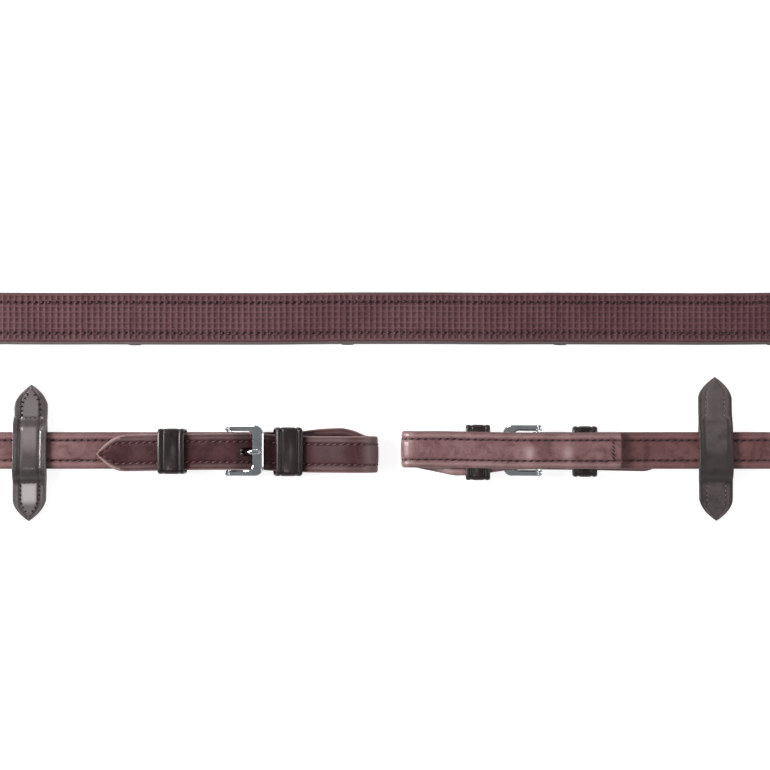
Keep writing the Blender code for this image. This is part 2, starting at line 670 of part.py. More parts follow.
def bit_billet(side, parts, cutters):
    """The strap from its sewn rear end, round the bit loop and through the buckle to its tip."""
    place = bit_place(side)
    end = BIT_END[side]
    half = BILLET_THICK / 2
    bend_x = end["loop"] + half
    top = half + 2 * LOOP_RADIUS
    keeper_in = end["loop_keeper"] - KEEPER_WIDTH[side] / 2 - 0.004
    keeper_out = end["loop_keeper"] + KEEPER_WIDTH[side] / 2
    over = end["tip_keeper"]
    corners = [(BILLET_TIP, 0.0074, 0), (0.0440, 0.0074, 0.030),
               (over + KEEPER_WIDTH[side] / 2 + 0.003, 0.0094, 0.030), (0.0150, 0.0094, 0.030),
               (0.0030, 0.0109, 0.012), (-0.0022, 0.0109, 0.0052), (-0.0098, 0.0057, 0.004),
               (keeper_out, 0.0057, 0.020), (keeper_in, 0.0057, 0.012),
               (bend_x + 0.012, top, 0.012), (bend_x, top, LOOP_RADIUS),
               (bend_x, half, LOOP_RADIUS), (end["rear_end"], half, 0)]
    line = with_tip(on_grid(corners))
    rear_end = end["rear_end"]
    skived = [Vector((rear_end - d, half)) for d in (0.008, 0.0012)]
    line = [p for p in line if p.y > half + 1e-6 or p.x < rear_end - 0.0085]
    line += skived + [Vector((rear_end, half))]
    rear = next(i for i, p in enumerate(line) if p.y < half + 1e-6)

    def y_of(i):
        return ramp(line[i].x, BILLET_SHIFT[side][i >= rear])

    frames = local_frames(line, place, y_of, -1)
    sections = []
    for f, p in zip(frames, line):
        width = BILLET_WIDTH / 2
        thick = BILLET_THICK
        if f.distance < 0.02:
            width = pointed(f.distance, BILLET_POINT, width)
        elif p.x > rear_end - 0.0085 and p.y < half + 1e-6:
            gone = ramp(p.x, [(rear_end - 0.008, 0.0), (rear_end, 1.0)])
            thick = BILLET_THICK - 0.0010 * gone
            width -= 0.0012 * ramp(gone, [(0.85, 0.0), (1.0, 1.0)])
        sections.append(section(f, half - thick, half, width))
    billet = loft(f"bit_billet_{side}", sections, (DARK_LEATHER, 0.5, 0.0), parts)
    cut_hole(billet, side, place, cutters)


def band(name, x, width, y_range, z_range, place, parts):
    """Closed band across a strap bundle, width long in x; y_range and z_range are its inside."""
    inside = rounded(*y_range, *z_range, 0.0004)
    outside = rounded(y_range[0] - KEEPER_THICK, y_range[1] + KEEPER_THICK,
                      z_range[0] - KEEPER_THICK, z_range[1] + KEEPER_THICK, 0.0020)
    obj = plate(name, [outside, inside], width, parts, (BLACK_LEATHER, 0.3, 0.0))
    for vertex in obj.data.vertices:
        across, up, along = vertex.co
        vertex.co = place(x + along, across, up)
    return obj


def bit_keepers(side, parts):
    """Two leather keepers, each sewn in between the layers under it."""
    place = bit_place(side)
    end = BIT_END[side]
    band(f"loop_keeper_{side}", end["loop_keeper"], KEEPER_WIDTH[side],
         *LOOP_KEEPER_INSIDE[side], place, parts)
    band(f"tip_keeper_{side}", end["tip_keeper"], KEEPER_WIDTH[side],
         *TIP_KEEPER_INSIDE[side], place, parts)


def martingale_stop(side, parts):
    """Two pointed leathers with the rein between them, sewn together at both ends."""
    middle = Vector((STOP_X[side], BIT_LINE_Y, 0))
    low, high = STOP_REACH[side]
    top = STOP_THICK + 0.0002
    crown = REIN_TOP[side] + GAP
    peak, foot = STOP_ARCH
    arch = [(-low, top, 0), (-foot, top, 0.004), (-peak, crown, 0.002),
            (peak, crown, 0.002), (foot, top, 0.004), (high, top, 0)]
    flat = [(-low, 0.0, 0), (high, 0.0, 0)]
    for layer, corners in (("upper", arch), ("lower", flat)):
        line = filleted(corners)
        tips = [0.0012, 0.0030, 0.0052, 0.0074, STOP_POINT]
        line = ([line[0]] + [Vector((d - low, line[0].y)) for d in tips] + line[1:-1]
                + [Vector((high - d, line[0].y)) for d in reversed(tips)] + [line[-1]])
        points = [middle + Vector((0, p.x, p.y)) for p in line]
        frames = frames_along(points, [Vector((-1, 0, 0))] * len(points))
        to_tip = [max(0.0, min(p.x + low, high - p.x)) for p in line]
        sections = [section(f, 0, STOP_THICK, pointed(d, STOP_POINT, STOP_WIDTH / 2))
                    for f, d in zip(frames, to_tip)]
        loft(f"stop_{layer}_{side}", sections, (STOP_LEATHER, 0.45, 0.0), parts)


# ---------------------------------------------------------------- the centre buckle
def centre_place(x, y, z):
    return Vector((CENTRE_BAR_X + x, y, z))


def centre_splice(frames, grip_start, start, thick, splice_thick, trim):
    """Sections of a rein's centre end from a distance to its splice with the hand part."""
    splice_end = grip_start - SPLICE_INSET
    splice_start = splice_end - SPLICE
    lift = splice_start - 0.004
    low = [(lift, REAR), (splice_start, REAR + SPLICE_SEAT),
           (splice_end, REAR + BACKING_THICK + GAP)]
    high = [(lift, REAR + thick), (splice_start, REAR + splice_thick), (splice_end, SPLICE_FRONT)]
    joints = [lift, splice_start, grip_start - TAPER_NARROW, grip_start - TAPER_WIDE]
    return strap_sections(stretch(frames, start, splice_end, joints), low, high, grip_start, trim)


def centre_strap(frames, grip_start, parts, cutters):
    """The right rein's end: turned round the centre buckle's bar and spliced to the hand part."""
    slope = [(0.036, HAND_BASE, 0), (0.028, HAND_BASE, 0.012), (0.0225, 0.0032, 0.012),
             (0.009, 0.0032, 0.03)]
    line, thickness = chape(CENTRE_BAR_Z, 0.022, 0.0013, slope)
    thickness = [min(t, CENTRE_THICK) for t in reversed(thickness)]
    ends = local_frames(line[::-1], centre_place)
    sections = [section(f, 0, t, REIN_WIDTH / 2) for f, t in zip(ends, thickness)]
    sections += centre_splice(frames, grip_start, 0.038, CENTRE_THICK, CENTRE_THICK, 0.0)
    strap = loft("centre_strap", sections, (LEATHER, 0.45, 0.0), parts)
    cut_slot(strap, "chape_slot_centre", centre_place, CENTRE_BAR_Z, cutters)


def centre_billet(frames, grip_start, parts, cutters):
    """The left rein's end: through the centre buckle, its tip on the right rein."""
    half = BILLET_THICK / 2
    corners = [(0.0435, 0.0063, 0), (0.0285, 0.0063, 0.012), (0.0230, 0.0077, 0.012),
               (0.0080, 0.0077, 0.030), (0.0025, 0.0084, 0.010), (-0.0020, 0.0084, 0.0052),
               (-0.0105, 0.0017, 0.006), (-0.0150, 0.0017, 0)]
    line = with_tip(filleted(corners))
    ends = local_frames(line, centre_place, None, -1)
    sections = []
    for f in ends:
        width = BILLET_WIDTH / 2
        if f.distance < 0.02:
            width = pointed(f.distance, BILLET_POINT, width)
        sections.append(section(f, -half, half, width))
    trim = (REIN_WIDTH - BILLET_WIDTH) / 2
    sections += centre_splice(frames, grip_start, 0.0175, BILLET_THICK, BILLET_THICK + 0.0006, trim)
    billet = loft("centre_billet", sections, (DARK_LEATHER, 0.5, 0.0), parts)
    cut_hole(billet, "centre", centre_place, cutters)


def centre_loops(parts):
    """The keeper sewn in behind the centre buckle and the runner that slides beyond it."""
    band("centre_keeper", *CENTRE_KEEPER, centre_place, parts)
    band("centre_runner", *CENTRE_RUNNER, centre_place, parts)


# ---------------------------------------------------------------- coil ties
def coil_tie(side, centre, turns, radius, parts):
    """Flat band round the turns on one side of a coil, clear of the bend in its middle."""
    mirror = -1 if side == "left" else 1
    angle = turns + math.pi / 2
    outward = Vector((mirror * math.sin(angle), math.cos(angle), 0))
    inner = COIL_INNER - 0.0065
    outer = radius + 0.0045
    height = COIL_BASE + HAND_WIDTH + 0.0010
    inside = rounded(inner, outer, TIE_THICK, height, 0.0010)
    outside = rounded(inner - TIE_THICK, outer + TIE_THICK, 0.0, height + TIE_THICK, 0.0018)
    tie = plate(f"coil_tie_{side}", [outside, inside], TIE_WIDTH, parts, (BLACK_LEATHER, 0.6, 0.0))
    axes = Matrix((outward, Z, outward.cross(Z))).transposed()
    middle = Vector((mirror * centre.x, centre.y, 0))
    tie.matrix_world = Matrix.Translation(middle) @ axes.to_4x4()


# ---------------------------------------------------------------- assembly
def build():
    clear_scene()
    parts = make_collection("leather_reins")
    cutters = make_collection("cutters")
    grip_starts = {"left": 0.060, "right": 0.074}
    for side, grip_start in grip_starts.items():
        frames, coil_centre, turns, radius = rein_route(side, grip_start)
        hand_part(side, frames, grip_start, parts)
        bit_strap(side, frames, grip_start, parts, cutters)
        bit_billet(side, parts, cutters)
        bit_keepers(side, parts)
        buckle(f"bit_buckle_{side}", bit_buckle_matrix(side), BIT_TILT, parts, cutters)
        martingale_stop(side, parts)
        coil_tie(side, coil_centre, turns, radius, parts)
        if side == "right":
            centre_strap(frames, grip_start, parts, cutters)
        else:
            centre_billet(frames, grip_start, parts, cutters)
    buckle("centre_buckle", Matrix.Translation((CENTRE_BAR_X, 0, CENTRE_BAR_Z)), CENTRE_TILT,
           parts, cutters)
    centre_loops(parts)
    for obj in parts.objects:
        obj.data.shade_smooth()
        obj.data.set_sharp_from_angle(angle=math.radians(35))


build()
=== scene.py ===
"""Leather reins with rubber hand parts: leather, rubber, thread and steel on the CAD frame.

Metres, the CAD's own frame: +X along the hand part, +Z up, the supporting surface at z = 0.
"""

import math
from collections import namedtuple
from contextlib import contextmanager

import bmesh
import bpy
import numpy as np
from mathutils import Matrix, Vector


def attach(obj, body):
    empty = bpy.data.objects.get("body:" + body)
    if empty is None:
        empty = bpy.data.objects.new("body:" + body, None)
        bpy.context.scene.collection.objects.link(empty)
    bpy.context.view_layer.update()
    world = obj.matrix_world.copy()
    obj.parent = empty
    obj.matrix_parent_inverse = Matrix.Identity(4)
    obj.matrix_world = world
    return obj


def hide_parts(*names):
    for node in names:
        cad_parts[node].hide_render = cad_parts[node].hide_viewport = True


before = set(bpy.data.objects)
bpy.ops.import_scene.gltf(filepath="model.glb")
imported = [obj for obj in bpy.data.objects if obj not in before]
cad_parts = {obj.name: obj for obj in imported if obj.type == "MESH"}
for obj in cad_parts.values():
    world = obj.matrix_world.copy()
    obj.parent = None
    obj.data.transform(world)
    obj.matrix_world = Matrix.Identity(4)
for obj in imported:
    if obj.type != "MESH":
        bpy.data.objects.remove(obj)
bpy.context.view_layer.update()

# ---- sizes that the CAD settles
GAP = 0.0003
REIN_WIDTH = 0.0160
REIN_THICK = 0.0034
HAND_WIDTH = 0.0225
BACKING_THICK = 0.0024
GRIP_THICK = 0.0013
GRIP_WIDTH = 0.0208
GRIP_SHIFT = 0.0005
REAR = -0.0020
BILLET_WIDTH = 0.0158
BILLET_THICK = 0.0026
CENTRE_THICK = 0.0028
REIN_LENGTH = 1.340
GRIP_LENGTH = 0.700
GRIP_START = {"left": 0.060, "right": 0.074}
SPLICE = 0.028
SPLICE_INSET = 0.002
SPLICE_SEAT = 0.0010
SPLICE_EDGE = 0.0007
SPLICE_FRONT = 0.0018
TAPER_WIDE = 0.004
TAPER_NARROW = 0.026
HAND_STOP_PITCH = 0.0922
HAND_STOP_COUNT = 7
HAND_STOP_FIRST = 0.0676
HAND_STOP_SIZE = (0.006, 0.0226, 0.0016)
HAND_STOP_SHIFT = 0.0003
CENTRE_BAR_X = -0.2338
BIT_LINE_Y = -0.0571
BIT_BAR_X = {"left": -0.0513, "right": 0.0824}
COIL_X = 0.320
COIL_PITCH = 0.0070
COIL_INNER = 0.0210
COIL_ENTRY = math.radians(45)
COIL_BASE = 0.0015
COIL_STEP = 0.0065
LEAD_BEND = 0.030
HAND_TWIST = 0.063
BIT_TWIST = 0.058
TIE_WIDTH = 0.010
TIE_THICK = 0.0008
BAR_RADIUS = 0.0012
EYE_RADIUS = BAR_RADIUS + 0.0003  # inside of what turns on the bar
FRAME_THICK = 0.0022
FRAME_HALF_Y = 0.01115
FRAME_ARM = 0.0025
FRAME_FRONT = 0.0158
FRAME_RAIL = 0.0052
FRAME_BACK = 0.0017
PRONG_RADIUS = 0.0010
PRONG_Y = 0.0006
SLOT = ((-0.0060, -0.0014, -0.0040), (0.0030, 0.0026, 0.0050))
BEND_THICK = 0.0020
BEND_SKIVE = [(0.001, BEND_THICK), (0.018, REIN_THICK)]
BIT_END = {
    "left": {"loop": -0.0647, "loop_keeper": -0.0255, "tip_keeper": 0.0244, "rear_end": 0.0403},
    "right": {"loop": -0.0595, "loop_keeper": -0.0261, "tip_keeper": 0.0202, "rear_end": 0.0361},
}
BILLET_TIP = 0.0572
BILLET_POINT = 0.0120
HOLE_HALF_WIDTH = 0.0017
HOLE_DEPTH = 0.0080
BILLET_HOLE = {
    "left": (0.0030, (-0.0080, 0.0075), math.radians(-30)),
    "right": (0.0040, (-0.0070, 0.0081), math.radians(30)),
    "centre": (0.0040, (-0.0066, 0.0044), math.radians(-35)),
}
KEEPER_WIDTH = {"left": 0.0116, "right": 0.0106}
KEEPER_THICK = 0.0012
LOOP_KEEPER_INSIDE = {"left": ((-0.0089, 0.0100), (0.0041, 0.0073)),
                      "right": ((-0.0101, 0.0117), (0.0041, 0.0073))}
TIP_KEEPER_INSIDE = {"left": ((-0.0084, 0.0090), (0.0041, 0.0111)),
                     "right": ((-0.0094, 0.0103), (0.0041, 0.0111))}
BILLET_SHIFT = {
    "left": ([(-0.0353, 0.0017), (-0.0197, 0.0010), (-0.0120, 0.0004), (0.0040, 0.0004),
              (0.0244, 0.0006), (0.0572, 0.0015)],
             [(-0.0581, 0.0012), (-0.0545, -0.0006), (-0.0492, -0.0019), (-0.0394, -0.0015),
              (-0.0310, -0.0003), (-0.0100, 0.0)]),
    "right": ([(-0.0540, -0.0006), (-0.0359, 0.0030), (-0.0260, 0.0026), (-0.0203, 0.0016),
               (-0.0120, 0.0004), (0.0040, 0.0004), (0.0202, 0.0006), (0.0572, 0.0015)],
              [(-0.0400, -0.0006), (-0.0100, 0.0)]),
}
CENTRE_KEEPER = (0.0155, 0.0100, (-0.0085, 0.0085), (0.0029, 0.0093))
CENTRE_RUNNER = (0.0345, 0.0070, (-0.0085, 0.0085), (0.0016, 0.0079))
BIT_BAR_Z = 0.0058
BIT_TILT = math.radians(15)
LAID_X = 0.048  # from the bar: beyond it the rein lies on the table
CENTRE_BAR_Z = 0.0031
CENTRE_TILT = math.radians(10)
LOOP_RADIUS = 0.0053
BIT_REIN_REAR = 0.0024
BUNDLE_SAG = [(0.002, 0.0145), (0.026, 0.0124), (LAID_X, 0.00875)]
HAND_BASE = 0.0019
BILLET_BASE = 0.0004
BIT_BASE = {"left": BIT_REIN_REAR, "right": BUNDLE_SAG[-1][1] - BIT_REIN_REAR + 2 * REAR}
REIN_TOP = {"left": BIT_REIN_REAR + REIN_THICK, "right": BUNDLE_SAG[-1][1] - BIT_REIN_REAR}
STOP_X = {"left": -0.1376, "right": 0.1594}
STOP_REACH = {"left": (0.0306, 0.0284), "right": (0.0305, 0.0317)}
STOP_WIDTH = 0.0146
STOP_THICK = 0.0021
STOP_POINT = 0.0098
STOP_ARCH = (0.0088, 0.0128)

# ---- sizes of the visible detail
STITCH_ROW = 0.0043  # from the strap's middle
STITCH_PITCH = 0.0030
STITCH_LENGTH = 0.0023
GRIP_ROWS = (0.0071, -0.0063)
GRIP_CELL = (0.0026, 0.0024)
DRIFT_SEED = 40
BILLET_ROW = 0.0044
BILLET_MARGIN = 0.0030
LEAST_ROW = 0.0006
STOP_ROW = 0.0040
STOP_CROSS = 0.0137  # the row across a stop, from its middle
STOP_STITCH = (0.0019, 0.0012)  # pitch and length
SPACING = 0.0005  # of the rings along short straps
LEVEL = 1e-5  # heights closer than this are the same
CREASE_AT = 0.58  # share of a strap's half width
CREASE_DEPTH = 0.00034
RAW_MARGIN = 0.0010
GRIP_PIT = 0.00042
GRIP_SEAM = 0.00022
GRIP_DENT = 0.00030
FRAME_ROUND = 0.0007
ROUND_SIDES = 28
PRONG_SIDES = 16
LENGTH_PASSES = 12
KEEPER_CORNER = 0.0022

# ---- colours, linear
REIN_COLOURS = [(0.138, 0.062, 0.063), (0.255, 0.138, 0.140), (0.075, 0.026, 0.027)]
STRAP_COLOURS = [(0.172, 0.080, 0.084), (0.310, 0.170, 0.170), (0.085, 0.030, 0.032)]
REAR_COLOURS = [(0.130, 0.052, 0.053), (0.195, 0.092, 0.094), (0.060, 0.020, 0.021)]
BILLET_COLOURS = [(0.048, 0.015, 0.018), (0.092, 0.040, 0.044), (0.020, 0.006, 0.007)]
BACKING_COLOURS = [(0.090, 0.066, 0.066), (0.138, 0.107, 0.107), (0.060, 0.042, 0.042)]
KEEPER_COLOURS = [(0.015, 0.008, 0.008), (0.034, 0.021, 0.020), (0.005, 0.003, 0.003)]
STOP_COLOURS = [(0.060, 0.045, 0.044), (0.105, 0.082, 0.080), (0.022, 0.015, 0.015)]
# Colour of the painted sheen on the left stop.
STOP_SHEEN_COLOUR = (0.400, 0.360, 0.358)
# Down the upper leather of a stop: lighter above zero (on the left stop a painted sheen), darker
# below zero.
STOP_SHEEN_AND_TONE = {
    "left": [(-0.029, 0.14), (-0.0150, 0.34), (-0.0145, 0.05), (-0.0095, 0.0), (-0.0085, 0.45),
             (-0.0030, 0.34), (0.0020, 0.0), (0.0060, -0.4), (0.0125, -0.7), (0.0135, -0.2),
             (0.0143, 1.0), (0.0215, 0.95), (0.0240, 0.0), (0.029, -0.2)],
    "right": [(-0.0317, 0.9), (-0.0120, 0.8), (-0.0080, 0.3), (-0.0010, -0.3), (0.0020, -0.9),
              (0.0120, -1.0), (0.0140, 0.0), (0.0200, -0.1), (0.0305, 0.3)],
}
RAW_EDGE = (0.270, 0.180, 0.176)
CUT_EDGE = (0.150, 0.090, 0.088)
DARK_EDGE = (0.035, 0.030, 0.030)
THREAD = (0.011, 0.004, 0.005)
GRIP_THREAD = (0.024, 0.008, 0.011)
BILLET_THREAD = (0.060, 0.024, 0.028)
PALE_THREAD = (0.110, 0.088, 0.088)
RUBBER = [(0.086, 0.029, 0.035), (0.170, 0.078, 0.086), (0.040, 0.012, 0.015)]
STEEL = (0.70, 0.73, 0.75)

Z = Vector((0, 0, 1))
Line = namedtuple("Line", "d p s n")
Strap = namedtuple("Strap", "d base side normal thick half")


# ---- lines shared with the CAD
def ramp(value, steps):
    """Piecewise linear function through (value, result) steps; value may be an array."""
    return np.interp(value, [s[0] for s in steps], [s[1] for s in steps])


def lengths(points):
    """Distance of each point from the first one, measured along them all."""
    return np.concatenate([[0], np.cumsum(np.linalg.norm(np.diff(points, axis=0), axis=1))])


def unit(rows):
    return rows / np.linalg.norm(rows, axis=-1, keepdims=True)


def filleted(corners, step=math.radians(5)):
    """Polyline through (x, z, radius) corners, each corner rounded by an arc of its radius."""
    points = [Vector(corners[0][:2])]
    for before, corner, after in zip(corners, corners[1:], corners[2:]):
        here = Vector(corner[:2])
        into = (here - Vector(before[:2])).normalized()
        out = (Vector(after[:2]) - here).normalized()
        turn = into.angle_signed(out)
        if abs(turn) < 1e-6 or corner[2] == 0:
            points.append(here)
            continue
        reach = corner[2] * math.tan(abs(turn) / 2)
        centre = here - into * reach
        centre += Vector((into.y, -into.x)) * math.copysign(corner[2], turn)
        spoke = here - into * reach - centre
        count = max(1, math.ceil(abs(turn) / step))
        for i in range(count + 1):
            points.append(centre + Matrix.Rotation(-turn * i / count, 2) @ spoke)
    points.append(Vector(corners[-1][:2]))
    return points


def coil_radius(length):
    """Outer radius of a double spiral that takes up this length of strap."""
    offset = COIL_PITCH * (math.pi - COIL_ENTRY) / math.pi
    turns = 2 * COIL_PITCH / math.pi * (length - math.pi * COIL_INNER) + 2 * COIL_INNER ** 2
    return (offset + math.sqrt(2 * turns - offset ** 2)) / 2


def spiral(centre, radius, start, end):
    """Evenly spaced points inwards along one arm of a coil, between two angles."""
    points = []
    angle = start
    while angle < end:
        r = radius - COIL_PITCH / math.pi * angle
        points.append(centre + Vector((math.sin(angle), math.cos(angle))) * r)
        angle += COIL_STEP / r
    r = radius - COIL_PITCH / math.pi * end
    points.append(centre + Vector((math.sin(end), math.cos(end))) * r)
    return points


def half_turn(start, end, clockwise, count=7):
    """Points between two places along the half circle that joins them."""
    middle = (start + end) / 2
    sign = -1 if clockwise else 1
    return [middle + Matrix.Rotation(sign * math.pi * i / count, 2) @ (start - middle)
            for i in range(1, count)]


def run(start, end):
    """Points along a straight stretch, its end left out."""
    count = max(1, round((end - start).length / COIL_STEP))
    return [start.lerp(end, i / count) for i in range(count)]


def plan_route(side, coil_length):
    """Plan view of a rein with its coil towards +X: points, coil centre, turns and radius."""
    mirror = -1 if side == "left" else 1
    radius = coil_radius(coil_length)
    centre = Vector((COIL_X, -radius))
    turns = (radius - COIL_INNER) * math.pi / COIL_PITCH
    inward = spiral(centre, radius, 0, turns)
    outward = spiral(centre, radius - COIL_PITCH, -COIL_ENTRY, turns - math.pi)
    join = outward[0]
    rise = join.y - BIT_LINE_Y - LEAD_BEND * (1 - math.cos(COIL_ENTRY))
    bend_end = join - Vector((rise / math.tan(COIL_ENTRY), rise))
    bend_start = Vector((bend_end.x - LEAD_BEND * math.sin(COIL_ENTRY), BIT_LINE_Y))
    bend_centre = bend_start + Vector((0, LEAD_BEND))
    bend = [bend_centre + Matrix.Rotation(COIL_ENTRY * i / 5, 2) @ Vector((0, -LEAD_BEND))
            for i in range(6)]
    hand_start = Vector((mirror * CENTRE_BAR_X, 0))
    hand_twist = Vector((COIL_X - HAND_TWIST, 0))
    bit_twist = Vector((bend_start.x - BIT_TWIST, BIT_LINE_Y))
    bit_start = Vector((mirror * BIT_BAR_X[side], BIT_LINE_Y))
    before_twist = Vector((COIL_STEP, 0))
    points = [hand_start, hand_twist - before_twist]
    points += run(hand_twist, Vector((COIL_X, 0)))
    points += inward
    points += half_turn(inward[-1], centre, True)
    points += [centre]
    points += half_turn(centre, outward[-1], False)
    points += outward[::-1]
    points += run(join, bend_end)[1:]
    points += bend[::-1]
    points += run(bend_start, bit_twist)[1:]
    points += [bit_twist, bit_twist - before_twist, bit_start]
    return [Vector((mirror * p.x, p.y)) for p in points], centre, turns, radius


def distances(points):
    total = [0.0]
    for before, after in zip(points, points[1:]):
        total.append(total[-1] + (after - before).length)
    return total


def strap_half(distance, side):
    """Half width of a rein: the hand part, the leather at its ends and the tapers between."""
    start = GRIP_START[side]
    end = start + GRIP_LENGTH
    return ramp(distance, [(start - TAPER_NARROW, REIN_WIDTH), (start - TAPER_WIDE, HAND_WIDTH),
                           (end + TAPER_WIDE, HAND_WIDTH), (end + TAPER_NARROW, REIN_WIDTH)]) / 2


def rein_route(side):
    """The line that a rein follows from the centre buckle's bar to the bit buckle's bar."""
    coil_length = REIN_LENGTH
    for _ in range(LENGTH_PASSES):
        plan, centre, turns, radius = plan_route(side, coil_length)
        coil_length += REIN_LENGTH - distances(plan)[-1]
    along = distances(plan)
    twist_in = along[2]
    twist_out = along[-3]
    last_turn = 180 if side == "right" else 0
    on_edge = (twist_in + HAND_TWIST, twist_out - BIT_TWIST)
    roll = [(twist_in, 0), (on_edge[0], 90), (on_edge[1], 90), (twist_out, last_turn)]
    hand_base = HAND_BASE if side == "right" else BILLET_BASE
    base = [(twist_in + HAND_TWIST / 2, hand_base), (on_edge[0], COIL_BASE),
            (on_edge[1], COIL_BASE), (twist_out, BIT_BASE[side])]
    points = []
    sides = []
    for i, (place, distance) in enumerate(zip(plan, along)):
        before = plan[max(i - 1, 0)]
        after = plan[min(i + 1, len(plan) - 1)]
        heading = ((place - before).normalized() + (after - place).normalized()).normalized()
        angle = math.radians(ramp(distance, roll))
        across = Vector((-heading.y, heading.x, 0))
        height = ramp(distance, base) - REAR * abs(math.cos(angle))
        height += strap_half(distance, side) * math.sin(angle)
        points.append((place.x, place.y, height))
        sides.append(across * math.cos(angle) + Z * math.sin(angle))
    points = np.array(points)
    return Line(lengths(points), points, np.array(sides), None), centre, turns, radius


def bit_place(side):
    """Map from a bit end's own axes (x from the bar, y across, z from its rear face)."""
    bar_x = BIT_BAR_X[side]
    if side == "left":
        return lambda x, y, z: (bar_x - x, BIT_LINE_Y - y, z)
    return lambda x, y, z: (bar_x + x, BIT_LINE_Y - y, float(ramp(x, BUNDLE_SAG)) - z)


def centre_place(x, y, z):
    return (CENTRE_BAR_X + x, y, z)


# ---- smooth lines
def hermite(x, xs, ys):
    """Smooth curve through the rows ys at xs; a long stretch beside short ones stays straight."""
    h = np.diff(xs)
    slope = np.diff(ys, axis=0) / h[:, None]
    m = np.vstack([slope[:1], slope])
    before, after = h[:-1, None], h[1:, None]
    inner = (slope[:-1] * after + slope[1:] * before) / (before + after)
    inner = np.where(before > 3 * after, slope[:-1], inner)
    m[1:-1] = np.where(after > 3 * before, slope[1:], inner)
    i = np.clip(np.searchsorted(xs, x, side="right") - 1, 0, len(h) - 1)
    step = h[i][:, None]
    t = (x - xs[i])[:, None] / step
    return (ys[i] * (2 * t ** 3 - 3 * t ** 2 + 1) + ys[i + 1] * (3 * t ** 2 - 2 * t ** 3)
            + m[i] * step * (t ** 3 - 2 * t ** 2 + t) + m[i + 1] * step * (t ** 3 - t ** 2))


def along_route(route, stations):
    """The route's smooth line at these distances."""
    points = hermite(stations, route.d, route.p)
    sides = unit(hermite(stations, route.d, route.s))
    normals = unit(np.cross(np.gradient(points, stations, axis=0), sides))
    return Line(stations, points, sides, normals)


def route_strap(route, stations, low, high, half):
    """Strap between two heights above a route's line."""
    line = along_route(route, stations)
    return Strap(stations, line.p + line.n * low[:, None], line.s, line.n, high - low, half)


def local_line(points, place, shift=None, outward=1, spacing=0.0006):
    """A bit end's (x, z) polyline, evenly resampled and placed; also its own x and z."""
    xz = np.array([(p.x, p.y) for p in points])
    along = lengths(xz)
    count = max(2, round(along[-1] / spacing))
    even = np.linspace(0, along[-1], count + 1)
    xz = np.column_stack([np.interp(even, along, xz[:, 0]), np.interp(even, along, xz[:, 1])])
    ys = np.zeros(len(xz)) if shift is None else shift(xz, even)
    world = np.array([place(x, y, z) for (x, z), y in zip(xz, ys)])
    beside = np.array([place(x, y + 0.01, z) for (x, z), y in zip(xz, ys)])
    sides = unit(beside - world) * outward
    normals = unit(np.cross(np.gradient(world, axis=0), sides))
    return Line(even, world, sides, normals), xz


def join(*straps):
    """Several straps end to end, as one."""
    joined = Strap(*[np.concatenate(values) for values in zip(*straps)])
    return joined._replace(d=lengths(joined.base) + straps[0].d[0])


def waves(d, seed, length):
    """Gentle irregular wave of about this length, between -1 and 1."""
    total = 0.0
    for i, share in enumerate((0.6, 0.3, 0.1)):
        turn = 2 * math.pi * d / (length * (1.0, 0.47, 0.23)[i])
        total = total + share * np.sin(turn + seed * (2.1 + 1.7 * i))
    return total


def bump(d, centre, width):
    return np.exp(-((d - centre) / width) ** 2)


# ---- meshes
def placed(name, data):
    """New object of this data in the scene."""
    obj = bpy.data.objects.new(name, data)
    bpy.context.scene.collection.objects.link(obj)
    return obj


@contextmanager
def edited(mesh):
    """The faces of a mesh, written back to it after they are changed."""
    bm = bmesh.new()
    bm.from_mesh(mesh)
    yield bm
    bm.to_mesh(mesh)
    bm.free()


def turn_outward(mesh):
    with edited(mesh) as bm:
        bmesh.ops.recalc_face_normals(bm, faces=bm.faces[:])


def make_mesh(name, points, faces, material, **attributes):
    mesh = bpy.data.meshes.new(name)
    mesh.from_pydata(np.asarray(points).tolist(), [], faces)
    for key, values in attributes.items():
        layer = mesh.attributes.new(key, "FLOAT", "POINT")
        layer.data.foreach_set("value", np.asarray(values, np.float32).ravel())
    mesh.shade_smooth()
    mesh.materials.append(material)
    return placed(name, mesh)


def grid_faces(rows, columns, closed_rows=False):
    """Quads of a tube whose rings have this many columns."""
    faces = []
    for i in range(rows if closed_rows else rows - 1):
        here = i * columns
        there = (i + 1) % rows * columns
        for j in range(columns):
            k = (j + 1) % columns
            faces.append((here + j, here + k, there + k, there + j))
    return faces


def repeated(faces, times, step):
    """The faces of as many equal blocks of points, each block as long as the step."""
    return [tuple(i * step + k for k in face) for i in range(times) for face in faces]


def capped(points):
    """Rings (rows, columns, 3) as one closed tube with softened ends: points and faces."""
    rows, columns, _ = points.shape
    middles = points[[0, -1]].mean(axis=1)
    faces = grid_faces(rows, columns)
    first, last = rows * columns, (rows - 1) * columns
    for j in range(columns):
        k = (j + 1) % columns
        faces.append((first, k, j))
        faces.append((first + 1, last + j, last + k))
    return np.concatenate([points.reshape(-1, 3), middles]), faces


